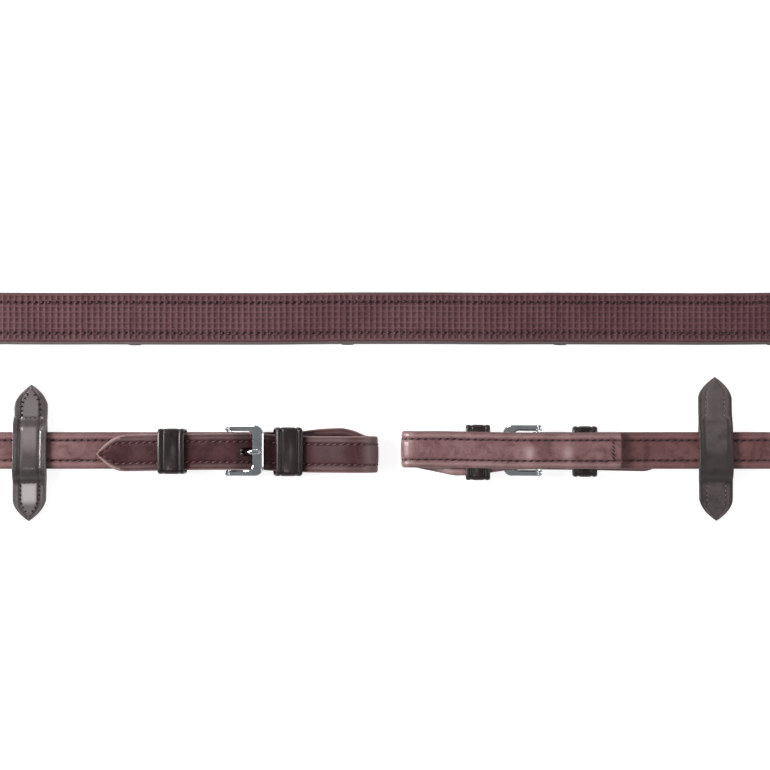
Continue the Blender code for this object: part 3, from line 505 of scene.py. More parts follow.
def tube(strap, u, h, edge, groove, soft=0.0004):
    """Closed rings across a strap from positions u and heights h, both (stations, points)."""
    centre = strap.base[:, None]
    points = centre + strap.side[:, None] * u[..., None] + strap.normal[:, None] * h[..., None]
    if soft:
        middle = (strap.thick / 2)[:, None]
        shrunk = (middle + (h - middle) * 0.45)[..., None]
        narrow = (u * (1 - 0.3 * soft / np.abs(u).max()))[..., None]
        ends = centre + strap.side[:, None] * narrow + strap.normal[:, None] * shrunk
        tangents = np.cross(strap.side, strap.normal)
        head = points[:1] + tangents[:1, None] * soft
        tail = points[-1:] - tangents[-1:, None] * soft
        points = np.concatenate([ends[:1], head, points[1:-1], tail, ends[-1:]])
        edge = np.concatenate([np.ones_like(edge[:1]), edge, np.ones_like(edge[:1])])
        groove = np.concatenate([groove[:1], groove, groove[-1:]])
    verts, faces = capped(points)
    edge = np.concatenate([edge.ravel(), [1, 1]])
    groove = np.concatenate([groove.ravel(), [0, 0]])
    return verts, faces, edge, groove


# Across a strap from its edge to its stitch row: share of that margin, height above it,
# edge tone, groove tone (painted shade above zero towards the stitch groove, a painted
# highlight below zero on the bead).
MARGIN_KNOTS = [(0.05, -0.46, 0.9, 0.0), (0.14, -0.20, 0.35, 0.0), (0.30, 0.02, 0.0, -0.3),
                (0.52, 0.16, 0.0, -1.0), (0.74, 0.06, 0.0, -0.3), (0.88, -0.12, 0.0, 0.35),
                (0.95, -0.28, 0.0, 0.8), (1.00, -0.34, 0.0, 1.0)]
# From the row to the middle: share of the row's offset, share of the margin's drop, height,
# groove tone (painted shade beside the stitch groove).
FIELD_KNOTS = [(0.95, 0.85, -0.22, 0.8), (0.90, 0.55, -0.12, 0.3), (0.82, 0.22, -0.06, 0.0),
               (0.68, 0.09, 0.0, 0.0), (0.45, 0.03, 0.0, 0.0), (0.20, 0.0, 0.0, 0.0)]


def half_profile(half, row, top, drop, relief):
    """Positions, heights, edge and groove tones from the edge to the middle of one face."""
    knots = [(half - share * (half - row), top - drop + height * relief, edge, groove)
             for share, height, edge, groove in MARGIN_KNOTS]
    knots += [(share * row, top - drop * fall + height * relief, 0.0, groove)
              for share, fall, height, groove in FIELD_KNOTS]
    u, h, edge, groove = [np.array(column) for column in zip(*knots)]
    return u.T, h.T, edge, groove


def profile(strap, row, front=(0.0006, 0.001), rear=(0.0, 0.0006)):
    """Rings of a strap; front and rear are (drop of the margins, relief of the stitch line)."""
    count = len(strap.d)
    row = np.minimum(np.broadcast_to(row, count), strap.half - 0.0004)
    thick = strap.thick
    soft = np.minimum(1.0, thick / 0.0024)
    fu, fh, edge, groove = half_profile(strap.half, row, thick, front[0] * soft, front[1] * soft)
    ru, rh, _, _ = half_profile(strap.half, row, thick, rear[0] * soft, rear[1] * soft)
    middle = np.zeros((count, 1))
    rim = strap.half[:, None]
    rim_h = (thick * 0.48)[:, None]
    u = np.hstack([rim, fu, middle, -fu[:, ::-1], -rim, -ru, middle, ru[:, ::-1]])
    rear_h = thick[:, None] - rh
    h = np.hstack([rim_h, fh, thick[:, None], fh[:, ::-1], rim_h, rear_h, middle,
                   rear_h[:, ::-1]])
    tone = np.concatenate([[1.0], edge, [0], edge[::-1], [1.0], edge, [0], edge[::-1]])
    line = np.concatenate([[0.0], groove, [0], groove[::-1], [0.0], groove, [0], groove[::-1]])
    return u, h, np.tile(tone, (count, 1)), np.tile(line, (count, 1))


def strap_piece(name, strap, material, row=STITCH_ROW, front=(0.0006, 0.001),
                rear=(0.0, 0.0006), lumps=0.0, seed=0, crease=None, dark_end=False, raw_tip=0.0,
                light_and_shade=None):
    """A strap; crease turns its margins up with painted shade in the crease; the function of (d,
    u) given last paints highlights on its front face above zero and shade below zero.
    """
    u, h, edge, groove = profile(strap, row, front, rear)
    share = np.abs(u) / strap.half[:, None]
    is_front = h > strap.thick[:, None] * 0.6
    if crease is not None:
        dent = 1.2 * bump(share, CREASE_AT, 0.07) - 2.2 * np.clip(share - 0.60, 0, 0.30)
        h = h - crease[:, None] * dent * is_front
        # Painted shade darkens the crease.
        depth = crease[:, None] / CREASE_DEPTH
        groove = np.maximum(groove, 0.8 * depth * bump(share, CREASE_AT, 0.06))
    if raw_tip:
        margin = (strap.half[:, None] - np.abs(u)) < RAW_MARGIN
        edge[(strap.d < raw_tip)[:, None] & margin] = 1.0
    # Painted highlights and painted shade on the front face.
    if light_and_shade is not None:
        groove = np.where(is_front, groove - light_and_shade(strap.d[:, None], u), groove)
    # The end's last millimetre darkened: dyed end and painted shade.
    if dark_end:
        groove[strap.d > strap.d[-1] - RAW_MARGIN] = 1.0
    if lumps:
        swell = waves(strap.d, seed, 0.031) + 0.6 * waves(strap.d, seed + 5, 0.013)
        upper = (h > strap.thick[:, None] * 0.5) * np.cos(u / strap.half[:, None])
        h = h + lumps * swell[:, None] * upper
    points, faces, edge, groove = tube(strap, u, h, edge, groove)
    return make_mesh(name, points, faces, material, edge=edge, groove=groove)


# ---- stitches
STITCH_LIFT = np.array([-0.30, 0.06, 0.19, 0.19, 0.06, -0.30]) * 0.001
STITCH_SHARE = np.array([-0.50, -0.36, -0.14, 0.14, 0.36, 0.50])
STITCH_SIZE = np.array([0.16, 0.30, 0.36, 0.36, 0.30, 0.16]) * 0.001


class Thread:
    """Collects stitches and turns them into one piece."""

    def __init__(self):
        self.points = []

    def row(self, points, normals, pitch, length, size, slant=0.34):
        """Stitches along a line of surface points."""
        along = lengths(points)
        number = max(1, int(along[-1] / pitch))
        middles = (np.arange(number) + 0.5) * along[-1] / number
        places = middles[:, None] + STITCH_SHARE[None] * length
        at = [np.interp(places, along, points[:, i]) for i in range(3)]
        up = [np.interp(places, along, normals[:, i]) for i in range(3)]
        at, up = np.stack(at, -1), unit(np.stack(up, -1))
        ahead = unit(at[:, -1] - at[:, 0])[:, None]
        beside = np.cross(up, np.broadcast_to(ahead, up.shape))
        at = at + beside * (STITCH_SHARE * slant * length)[None, :, None]
        at = at + up * (STITCH_LIFT * size)[None, :, None]
        angles = np.arange(6) * math.pi / 3
        radius = (STITCH_SIZE * size)[None, :, None, None]
        ring = (beside[:, :, None] * np.cos(angles)[None, None, :, None]
                + up[:, :, None] * np.sin(angles)[None, None, :, None] * 0.75)
        self.points.append(at[:, :, None] + ring * radius)

    def pair(self, strap, offset, height, spans, normals, *look):
        """Rows at the same offset on both sides of a strap's middle, over each span."""
        for sign in (1, -1):
            points = strap.base + strap.side * (sign * offset)[:, None]
            points = points + strap.normal * height[:, None]
            for span in spans:
                self.row(points[span], normals[span], *look)

    def rung(self, place, side, lift, normal, across, *look):
        """A row across a strap at one place along it."""
        self.row(place + side * across[:, None] + lift, np.tile(normal, (len(across), 1)), *look)

    def piece(self, name, material, body):
        rings = np.concatenate(self.points)
        block = grid_faces(6, 6) + [tuple(range(5, -1, -1)), tuple(range(30, 36))]
        obj = make_mesh(name, rings.reshape(-1, 3), repeated(block, len(rings), 36), material)
        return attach(obj, body)


def stitch_strap(thread, strap, start, end, rows=(STITCH_ROW, -STITCH_ROW), drop=0.0009,
                 rear=False, pitch=STITCH_PITCH, size=1.0, length=STITCH_LENGTH):
    """Stitch rows along a strap between two distances, on its front or rear face."""
    keep = (strap.d >= start) & (strap.d <= end)
    base, side, normal = strap.base[keep], strap.side[keep], strap.normal[keep]
    height = np.full(keep.sum(), drop) if rear else strap.thick[keep] - drop
    for row in rows:
        points = base + side * row + normal * height[:, None]
        thread.row(points, -normal if rear else normal, pitch, length, size)


# ---- materials
class Graph:
    """A node material around one Principled shader."""

    def __init__(self, name, roughness=0.5, metallic=0.0, coat=0.0, coat_roughness=0.1,
                 specular=0.5):
        self.material = bpy.data.materials.new(name)
        self.material.use_nodes = True
        self.tree = self.material.node_tree
        self.shader = self.tree.nodes["Principled BSDF"]
        self.shader.inputs["Roughness"].default_value = roughness
        self.shader.inputs["Metallic"].default_value = metallic
        self.shader.inputs["Coat Weight"].default_value = coat
        self.shader.inputs["Coat Roughness"].default_value = coat_roughness
        self.shader.inputs["Specular IOR Level"].default_value = specular
        self.place = self.add("ShaderNodeTexCoord").outputs["Object"]

    def add(self, kind, values=(), **settings):
        node = self.tree.nodes.new(kind)
        for key, value in settings.items():
            setattr(node, key, value)
        for key, value in dict(values).items():
            self.feed(node.inputs[key], value)
        return node

    def feed(self, socket, value):
        if isinstance(value, bpy.types.NodeSocket):
            self.tree.links.new(value, socket)
        else:
            socket.default_value = value

    def stretched(self, factors):
        return self.add("ShaderNodeMapping", {"Vector": self.place, "Scale": factors}).outputs[0]

    def noise(self, scale, detail=3.0, roughness=0.55, vector=None, distortion=0.0):
        values = {"Vector": vector or self.place, "Scale": scale, "Detail": detail,
                  "Roughness": roughness, "Distortion": distortion}
        return self.add("ShaderNodeTexNoise", values).outputs[0]

    def cells(self, scale):
        values = {"Vector": self.place, "Scale": scale}
        return self.add("ShaderNodeTexVoronoi", values).outputs["Distance"]

    def between(self, value, low, high, to_low=0.0, to_high=1.0):
        values = {"Value": value, "From Min": low, "From Max": high, "To Min": to_low,
                  "To Max": to_high}
        return self.add("ShaderNodeMapRange", values).outputs[0]

    def times(self, a, b, operation="MULTIPLY"):
        return self.add("ShaderNodeMath", {0: a, 1: b}, operation=operation).outputs[0]

    def plus(self, a, b):
        return self.times(a, b, "ADD")

    def total(self, *weighted):
        """Sum of values, each given with its weight."""
        result = None
        for value, weight in weighted:
            part = self.times(value, weight)
            result = self.plus(result, part) if result else part
        return result

    def mix(self, factor, a, b):
        a = a if isinstance(a, bpy.types.NodeSocket) else (*a, 1.0)
        b = b if isinstance(b, bpy.types.NodeSocket) else (*b, 1.0)
        node = self.add("ShaderNodeMix", {0: factor, 6: a, 7: b}, data_type="RGBA")
        return node.outputs[2]

    def tinted(self, colour, value, low, high, share, tint):
        """Colour drawn towards a tint, up to this share as the value goes from low to high."""
        return self.mix(self.times(self.between(value, low, high), share), colour, tint)

    def mark(self, name):
        return self.add("ShaderNodeAttribute", attribute_name=name).outputs["Fac"]

    def finish(self, colour=None, roughness=None, height=None, depth=0.0001, strength=1.0):
        if colour is not None:
            self.feed(self.shader.inputs["Base Color"], colour)
        if roughness is not None:
            self.feed(self.shader.inputs["Roughness"], roughness)
        if height is not None:
            values = {"Height": height, "Distance": depth, "Strength": strength}
            self.feed(self.shader.inputs["Normal"],
                      self.add("ShaderNodeBump", values).outputs[0])
        return self.material


def leather(name, colours, edge, roughness=0.42, coat=0.0, grain=1.0, mottling=0.6, wear=0.5,
            specular=0.5, bead=0.7, seam=0.85, sheen_colour=None):
    """Dressed leather: cloudy colour, flecks of wear, pores and fine creases, edges in edge paint;
    painted highlights where the groove tone is below zero, painted shade where it is above zero.
    """
    base, light, dark = colours
    g = Graph(name, roughness, coat=coat, coat_roughness=0.16, specular=specular)
    cloud = g.noise(48, 4, 0.6)
    blotch = g.noise(210, 5, 0.65, distortion=0.4)
    fine = g.noise(1150, 3, 0.6)
    pores = g.cells(1500)
    creases = g.noise(520, 4, 0.7, g.stretched((3.2, 0.8, 1.0)), 0.5)
    colour = base
    for layer in ((cloud, 0.38, 0.66, mottling, light), (blotch, 0.54, 0.36, mottling, dark),
                  (fine, 0.56, 0.74, wear, light), (creases, 0.60, 0.72, 0.35 * wear, dark)):
        colour = g.tinted(colour, *layer)
    # Painted highlight below zero of the groove tone, painted shade above it.
    colour = g.mix(g.between(g.mark("groove"), 0.0, -2.0, 0.0, 2 * bead), colour, sheen_colour or light)
    colour = g.mix(g.between(g.mark("groove"), 0.0, 1.0, 0.0, seam), colour, dark)
    colour = g.mix(g.mark("edge"), colour, edge)
    rough = g.between(blotch, 0.3, 0.7, roughness - 0.09, roughness + 0.10)
    rough = g.plus(rough, g.times(g.mark("edge"), 0.12))
    height = g.total((pores, 0.5), (fine, 0.6), (creases, 0.9), (blotch, 1.6))
    return g.finish(colour, rough, height, 0.000045 * grain, 0.9)


def rubber(name, colours):
    """Moulded rubber on woven backing: dusty ridges, pits darkened as painted shade."""
    base, light, dark = colours
    g = Graph(name, 0.75, specular=0.35)
    cloud = g.noise(60, 4, 0.6)
    dust = g.noise(900, 4, 0.7)
    pit = g.mark("groove")
    colour = g.tinted(base, cloud, 0.35, 0.7, 0.5, light)
    colour = g.tinted(colour, dust, 0.5, 0.72, 0.55, light)
    weave = g.noise(1500, 3, 0.7)
    # Painted shade: pits, dents at the hand stops and stitch seams go darker, unevenly with the
    # weave.
    colour = g.mix(g.times(pit, g.between(weave, 0.35, 0.65, 0.95, 0.35)), colour, dark)
    colour = g.tinted(colour, weave, 0.54, 0.68, 0.45, light)
    colour = g.mix(g.times(g.mark("edge"), 0.4), colour, dark)
    rough = g.between(dust, 0.3, 0.7, 0.62, 0.86)
    return g.finish(colour, rough, g.plus(dust, g.times(g.cells(2600), 0.4)), 0.00005, 0.8)


def thread_material(name, colour):
    """Waxed twisted thread."""
    g = Graph(name, 0.55, specular=0.4)
    ply = g.noise(2600, 2, 0.5, g.stretched((0.5, 1.6, 1.6)))
    tint = g.mix(g.between(ply, 0.4, 0.7), colour, tuple(2.4 * c for c in colour))
    return g.finish(tint, g.between(ply, 0.3, 0.7, 0.45, 0.7), ply, 0.00012, 0.9)


def steel_material(name, colour):
    """Polished stainless steel with fine buffing lines and a few dull smears."""
    g = Graph(name, 0.2, 1.0)
    lines = g.noise(700, 3, 0.6, g.stretched((1.0, 9.0, 9.0)))
    smear = g.noise(160, 4, 0.6)
    tint = g.tinted(colour, smear, 0.45, 0.7, 0.5, tuple(0.55 * c for c in colour))
    rough = g.plus(g.between(smear, 0.35, 0.7, 0.015, 0.035), g.times(lines, 0.010))
    return g.finish(tint, rough, g.plus(lines, g.times(smear, 3.0)), 0.000004, 0.8)


def webbing(name):
    """Flat woven band."""
    g = Graph(name, 0.8, specular=0.3)
    weft = g.noise(2300, 2, 0.5, g.stretched((1.0, 1.0, 0.25)))
    warp = g.cells(1500)
    tint = g.mix(g.between(weft, 0.4, 0.62), (0.010, 0.010, 0.011), (0.035, 0.033, 0.034))
    return g.finish(tint, g.between(weft, 0.3, 0.7, 0.65, 0.9), g.plus(weft, warp), 0.00018, 0.9)


# In these leathers bead and the sheen colour set the painted highlights, seam the painted shade in
# the grooves.
MAT = {
    "rein": leather("rein_leather", REIN_COLOURS, CUT_EDGE, 0.46, grain=0.9,
                    specular=0.35),
    "rear": leather("rein_rear_leather", REAR_COLOURS, CUT_EDGE, 0.50, grain=1.1,
                    specular=0.3),
    "billet": leather("billet_leather", BILLET_COLOURS, RAW_EDGE, 0.54, grain=0.8,
                      specular=0.16, bead=0.35, seam=0.7, sheen_colour=(0.22, 0.15, 0.15)),
    "strap": leather("rear_strap_leather", STRAP_COLOURS, CUT_EDGE, 0.40, grain=1.0,
                     coat=0.10, specular=0.35, bead=0.38, sheen_colour=(0.42, 0.30, 0.29)),
    "backing": leather("backing_leather", BACKING_COLOURS, (0.110, 0.090, 0.090), 0.45),
    "hand_stop": leather("hand_stop_leather", BACKING_COLOURS, DARK_EDGE, 0.5),
    "keeper": leather("keeper_leather", KEEPER_COLOURS, (0.020, 0.016, 0.016), 0.36, coat=0.32,
                      grain=0.45, wear=0.2, specular=0.25),
    "stop": leather("stop_leather", STOP_COLOURS, (0.110, 0.100, 0.098), 0.36, coat=0.20,
                    grain=0.6, mottling=0.4, bead=0.75, sheen_colour=STOP_SHEEN_COLOUR),
    "stop_rear": leather("stop_rear_leather", STOP_COLOURS, DARK_EDGE, 0.50, grain=1.2),
    "rubber": rubber("grip_rubber", RUBBER),
    "thread": thread_material("linen_thread", THREAD),
    "grip_thread": thread_material("grip_thread", GRIP_THREAD),
    "billet_thread": thread_material("billet_thread", BILLET_THREAD),
    "pale_thread": thread_material("pale_thread", PALE_THREAD),
    "steel": steel_material("polished_steel", STEEL),
    "tie": webbing("tie_webbing"),
}


# ---- camera
def look_from_above():
    """Long lens straight above the part of the layout that lies between the coils."""
    data = bpy.data.cameras.new("camera")
    data.sensor_width = 36
    data.lens = 200
    camera = placed("camera", data)
    width = 1 / 3  # of the layout that is seen, in metres
    camera.location = (0.01619, -0.02879, width * data.lens / data.sensor_width + 0.004)
    data.clip_start = 0.01
    data.clip_end = 20
    bpy.context.scene.camera = camera


# ---- hand parts
def sway(d, side):
    """How far a hand part strays sideways along its length."""
    return 0.00022 * waves(d, GRIP_START[side] * DRIFT_SEED, 0.21)


def drift(strap, side):
    """Slight unevenness of a strap that lies loose."""
    lateral = sway(strap.d, side)
    lift = 0.00008 * (1 + waves(strap.d, GRIP_START[side] * DRIFT_SEED + 3, 0.09))
    base = strap.base + strap.side * lateral[:, None] + strap.normal * lift[:, None]
    return strap._replace(base=base)


def stations(start, end, step):
    return np.linspace(start, end, max(2, round((end - start) / step)) + 1)


def hand_backing(side, route):
    """The leather that the rubber is sewn to, skived at both ends for its splices."""
    start = GRIP_START[side]
    end = start + GRIP_LENGTH
    low_end = start - SPLICE_INSET - SPLICE
    high_end = end + SPLICE_INSET + SPLICE
    d = stations(low_end, high_end, 0.0016)
    low = np.full(len(d), REAR)
    front = ramp(d, [(low_end, REAR + SPLICE_EDGE), (start - SPLICE_INSET, REAR + BACKING_THICK),
                     (end + SPLICE_INSET, REAR + BACKING_THICK), (high_end, REAR + SPLICE_EDGE)])
    strap = drift(route_strap(route, d, low, front, strap_half(d, side)), side)
    row = np.minimum(0.0095, strap.half - 0.0012)
    obj = strap_piece(f"backing_{side}", strap, MAT["backing"], row, (0.0, 0.0001), (0.0, 0.0002))
    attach(obj, "reins")
    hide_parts(f"grip_backing_{side}")


def waffle(length, cell):
    """Sample places along a row of waffle cells, and the height of the pattern at each."""
    cells = int(length / cell)
    margin = (length - cells * cell) / 2
    offsets = np.array([-0.00016, 0.00016, 0.00050, cell - 0.00050])
    places = (margin + np.arange(cells)[:, None] * cell + offsets).ravel()
    heights = np.tile([1.0, 1.0, 0.0, 0.0], cells)
    places = np.concatenate([places, [places[-4] + cell, places[-3] + cell]])
    heights = np.concatenate([heights, [1.0, 1.0]])
    return places, heights


def hand_grip(side, route, thread):
    """Rubber with a moulded square grid, dented by its stitch rows and by each hand stop."""
    start = GRIP_START[side]
    along, ridge_along = waffle(GRIP_LENGTH, GRIP_CELL[0])
    across, ridge_across = waffle(GRIP_WIDTH, GRIP_CELL[1])
    d = start + along
    seat = np.full(len(d), REAR + BACKING_THICK + GAP)
    half = GRIP_WIDTH / 2
    strap = drift(route_strap(route, d, seat, seat + GRIP_THICK, np.full(len(d), half)), side)
    shift = GRIP_SHIFT
    middles = start + HAND_STOP_FIRST + HAND_STOP_PITCH * np.arange(HAND_STOP_COUNT)
    u = across - half + shift
    order = np.argsort(-u)
    u, ridge_across = u[order], ridge_across[order]
    pattern = np.maximum(ridge_along[:, None], ridge_across[None])
    sunk = sum(bump(u, row, 0.0006) for row in GRIP_ROWS)[None]
    crease = 0.6 * sum(bump(d, m, 0.0013) for m in middles)[:, None]
    swell = sum(bump(d, m, 0.006) for m in middles)[:, None]
    height = GRIP_THICK - GRIP_PIT * (1 - pattern) - GRIP_SEAM * sunk - GRIP_DENT * crease
    height = height + 0.00016 * swell + 0.00005 * waves(d, 4.0, 0.017)[:, None]
    # Painted shade in the pits, the dents and the seams.
    pit = np.maximum(0.8 * (1 - pattern), 0.75 * np.maximum(crease, 0.4 * sunk))
    left = [shift + half, shift + half - 0.00012]
    right = [shift - half + 0.00012, shift - half]
    rear = [shift - half, shift - half / 2, shift, shift + half / 2, shift + half]
    ring_u = np.concatenate([left, u, right, rear])
    count = len(d)
    ones = np.ones((count, 1))
    rim = np.array([[0.00045, 0.00095]]) * ones
    h = np.hstack([rim, height, rim[:, ::-1], np.zeros((count, 5))])
    tone = np.concatenate([[1, 0.8], np.zeros(len(u)), [0.8, 1], np.ones(5)])
    groove = np.hstack([np.zeros((count, 2)), pit, np.zeros((count, 7))])
    points, faces, edge, groove = tube(strap, ring_u[None] * ones, h, tone[None] * ones, groove, 0)
    obj = make_mesh(f"rubber_grip_{side}", points, faces, MAT["rubber"], edge=edge, groove=groove)
    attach(obj, "reins")
    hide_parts(f"grip_{side}")
    hem = 0.002
    sewn = stations(start + hem, start + GRIP_LENGTH - hem, 0.001)
    heights = (seat[0], seat[0] + GRIP_THICK)
    line = drift(route_strap(route, sewn, *[np.full(len(sewn), v) for v in (*heights, 0.01)]),
                 side)
    stitch_strap(thread, line, line.d[0], line.d[-1], GRIP_ROWS, GRIP_SEAM, size=1.7,
                 length=0.0016)
    for middle in middles:
        at = along_route(route, np.array([middle - 0.0005, middle, middle + 0.0005]))
        across = np.linspace(GRIP_ROWS[1] + 0.001, GRIP_ROWS[0] - 0.001, 12) + sway(middle, side)
        lift = at.n[1] * (heights[1] - 0.0004)
        thread.rung(at.p[1], at.s[1], lift, at.n[1], across, 0.0024, 0.0018, 0.9)


def hand_stop_bars(side, route):
    """Leather bars across the inside of a hand part, as one piece."""
    length, width, thick = HAND_STOP_SIZE
    top = REAR - GAP
    bars = []
    for number in range(HAND_STOP_COUNT):
        middle = GRIP_START[side] + HAND_STOP_FIRST + HAND_STOP_PITCH * number
        d = stations(middle - length / 2, middle + length / 2, 0.0005)
        crown = np.maximum(0, 1 - ((d - middle) / (length / 2)) ** 2)
        body = thick * (0.72 + 0.28 * np.sqrt(crown))
        plan = width / 2 - 0.0003 * ((d - middle) / (length / 2)) ** 4
        strap = drift(route_strap(route, d, top - body, np.full(len(d), top), plan), side)
        strap = strap._replace(base=strap.base - strap.side * HAND_STOP_SHIFT)
        u, h, edge, groove = profile(strap, 0.0098, (0, 0.0001), (0, 0.0003))
        bars.append(tube(strap, u, h, edge, groove, 0.0003))
    points, faces, edge, groove = zip(*bars)
    obj = make_mesh(f"hand_stop_bars_{side}", np.concatenate(points),
                    repeated(faces[0], len(bars), len(points[0])), MAT["hand_stop"],
                    edge=np.concatenate(edge), groove=np.concatenate(groove))
    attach(obj, "reins")
    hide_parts(*[f"hand_stop_{side}_{i + 1}" for i in range(HAND_STOP_COUNT)])


# ---- cuts
def box_mesh(name, low, high):
    """Punch for a square slot, between two corners."""
    mesh = bpy.data.meshes.new(name)
    size = Vector(high) - Vector(low)
    middle = (Vector(high) + Vector(low)) / 2
    with edited(mesh) as bm:
        bmesh.ops.create_cube(bm, matrix=Matrix.Translation(middle) @ Matrix.Diagonal((*size, 1)))
    return placed(name, mesh)


def slot_mesh(name, half_length, half_width, depth, matrix):
    """Punch for an oblong hole with round ends."""
    mesh = bpy.data.meshes.new(name)
    rim = []
    for end in (1, -1):
        for i in range(9):
            angle = math.radians(-90 + 180 * i / 8) + (0 if end > 0 else math.pi)
            rim.append((end * (half_length - half_width) + half_width * math.cos(angle),
                        half_width * math.sin(angle)))
    with edited(mesh) as bm:
        bottom = [bm.verts.new((x, y, -depth)) for x, y in rim]
        top = [bm.verts.new((x, y, depth)) for x, y in rim]
        bm.faces.new(bottom[::-1])
        bm.faces.new(top)
        for i in range(len(rim)):
            j = (i + 1) % len(rim)
            bm.faces.new((bottom[i], bottom[j], top[j], top[i]))
    obj = placed(name, mesh)
    obj.matrix_world = matrix
    return obj


def subtract(obj, tool):
    """Cut the tool out of an object's mesh and remove the tool."""
    modifier = obj.modifiers.new("cut", "BOOLEAN")
    modifier.operation = "DIFFERENCE"
    modifier.object = tool
    modifier.solver = "EXACT"
    graph = bpy.context.evaluated_depsgraph_get()
    mesh = bpy.data.meshes.new_from_object(obj.evaluated_get(graph), depsgraph=graph)
    obj.modifiers.clear()
    obj.data = mesh
    bpy.data.objects.remove(tool)


def cut_slot(obj, place, bar_z):
    corners = [place(x, y, bar_z + z) for x, y, z in SLOT]
    low = [min(pair) for pair in zip(*corners)]
    high = [max(pair) for pair in zip(*corners)]
    subtract(obj, box_mesh("slot_tool", low, high))


def cut_hole(obj, end, place):
    half_length, (x, z), lean = BILLET_HOLE[end]
    turn = Matrix.Rotation(lean, 4, "Y")
    matrix = Matrix.Translation(place(x, PRONG_Y, z)) @ turn
    subtract(obj, slot_mesh("hole_tool", half_length, HOLE_HALF_WIDTH, HOLE_DEPTH / 2, matrix))


# ---- straps of the bit ends
def round_the_bar(slope, bar_z, return_end):
    """A strap's middle down its slope, round a buckle's bar and back under itself."""
    over, under = bar_z + EYE_RADIUS, bar_z - EYE_RADIUS
    return filleted(slope + [(-EYE_RADIUS, over, EYE_RADIUS), (-EYE_RADIUS, under, EYE_RADIUS),
                             (return_end, under, 0)])


def chape(bar_z, return_end, return_thick, slope, place):
    """The end of a strap turned round a buckle's bar, from its front face to its return."""
    local, xz = local_line(round_the_bar(slope, bar_z, return_end), place, None, -1)
    over = np.argmin(np.where(xz[:, 1] > bar_z, xz[:, 0], 1))
    index = np.arange(len(xz))
    under = np.argmax((xz[:, 1] < bar_z - EYE_RADIUS + LEVEL) & (index > over))
    thick = np.where(index < over, ramp(xz[:, 0], BEND_SKIVE),
                     ramp(index, [(over, BEND_THICK), (under, return_thick)]))
    return Strap(*local, thick, np.full(len(xz), REIN_WIDTH / 2)), xz


def bit_strap(side, route, thread):
    """The raised leather rein from its splice with the hand part to its end round the bar."""
    place = bit_place(side)
    splice_start = GRIP_START[side] + GRIP_LENGTH + SPLICE_INSET
    splice_end = splice_start + SPLICE
    full = splice_end + 0.010
    d = stations(splice_start, REIN_LENGTH - 0.050, 0.0010)
    low = ramp(d, [(splice_start, REAR + BACKING_THICK + GAP), (splice_end, REAR + SPLICE_SEAT),
                   (full, REAR)])
    high = ramp(d, [(splice_end, SPLICE_FRONT), (full, REAR + REIN_THICK)])
    first = route_strap(route, d, low, high, strap_half(d, side))
    keeper = BIT_END[side]["tip_keeper"]
    plateau, ease = BIT_BAR_Z - 0.0014, 0.0085
    slope = [(LAID_X, BIT_REIN_REAR, 0), (0.044, BIT_REIN_REAR, 0),
             (keeper + ease, plateau, 0.030), (keeper - ease, plateau, 0.030)]
    last, _ = chape(BIT_BAR_Z, keeper - ease, 0.0012, slope, place)
    strap = join(first, last)
    rest = STOP_X[side] + STOP_WIDTH / 2 + 0.0004

    def painted_shadow(along, across):
        """Painted shadow of the stop on the rein, beside the place where it rests."""
        return -1.4 * bump(np.interp(along, strap.d, strap.base[:, 0]), rest, 0.0013)

    material, seed = {"left": ("rein", 2), "right": ("rear", 7)}[side]
    obj = strap_piece(f"rein_{side}", strap, MAT[material], lumps=0.00010, seed=seed, light_and_shade=painted_shadow)
    cut_slot(obj, place, BIT_BAR_Z)
    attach(obj, "reins")
    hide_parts(f"bit_strap_{side}")
    total = strap.d[len(d)] + LAID_X
    stitch_strap(thread, strap, splice_start + 0.004, total - 0.014, size=1.25)
    stitch_strap(thread, strap, splice_start + 0.004, total - 0.0385, drop=0.0002, rear=True)


def pointed(distance, length, half_width):
    """Half width of a rounded point at a distance from its tip."""
    share = np.minimum(distance / length, 1.0)
    return half_width * np.maximum(0.06, np.sin(share * math.pi / 2) ** 0.85)


def row_within(half, row, margin):
    """A stitch row's offset, drawn in where the strap is narrower than the row needs."""
    return np.minimum(row, np.maximum(half - margin, LEAST_ROW))


def billet_half(d):
    return np.where(d < 0.02, pointed(d, BILLET_POINT, BILLET_WIDTH / 2), BILLET_WIDTH / 2)


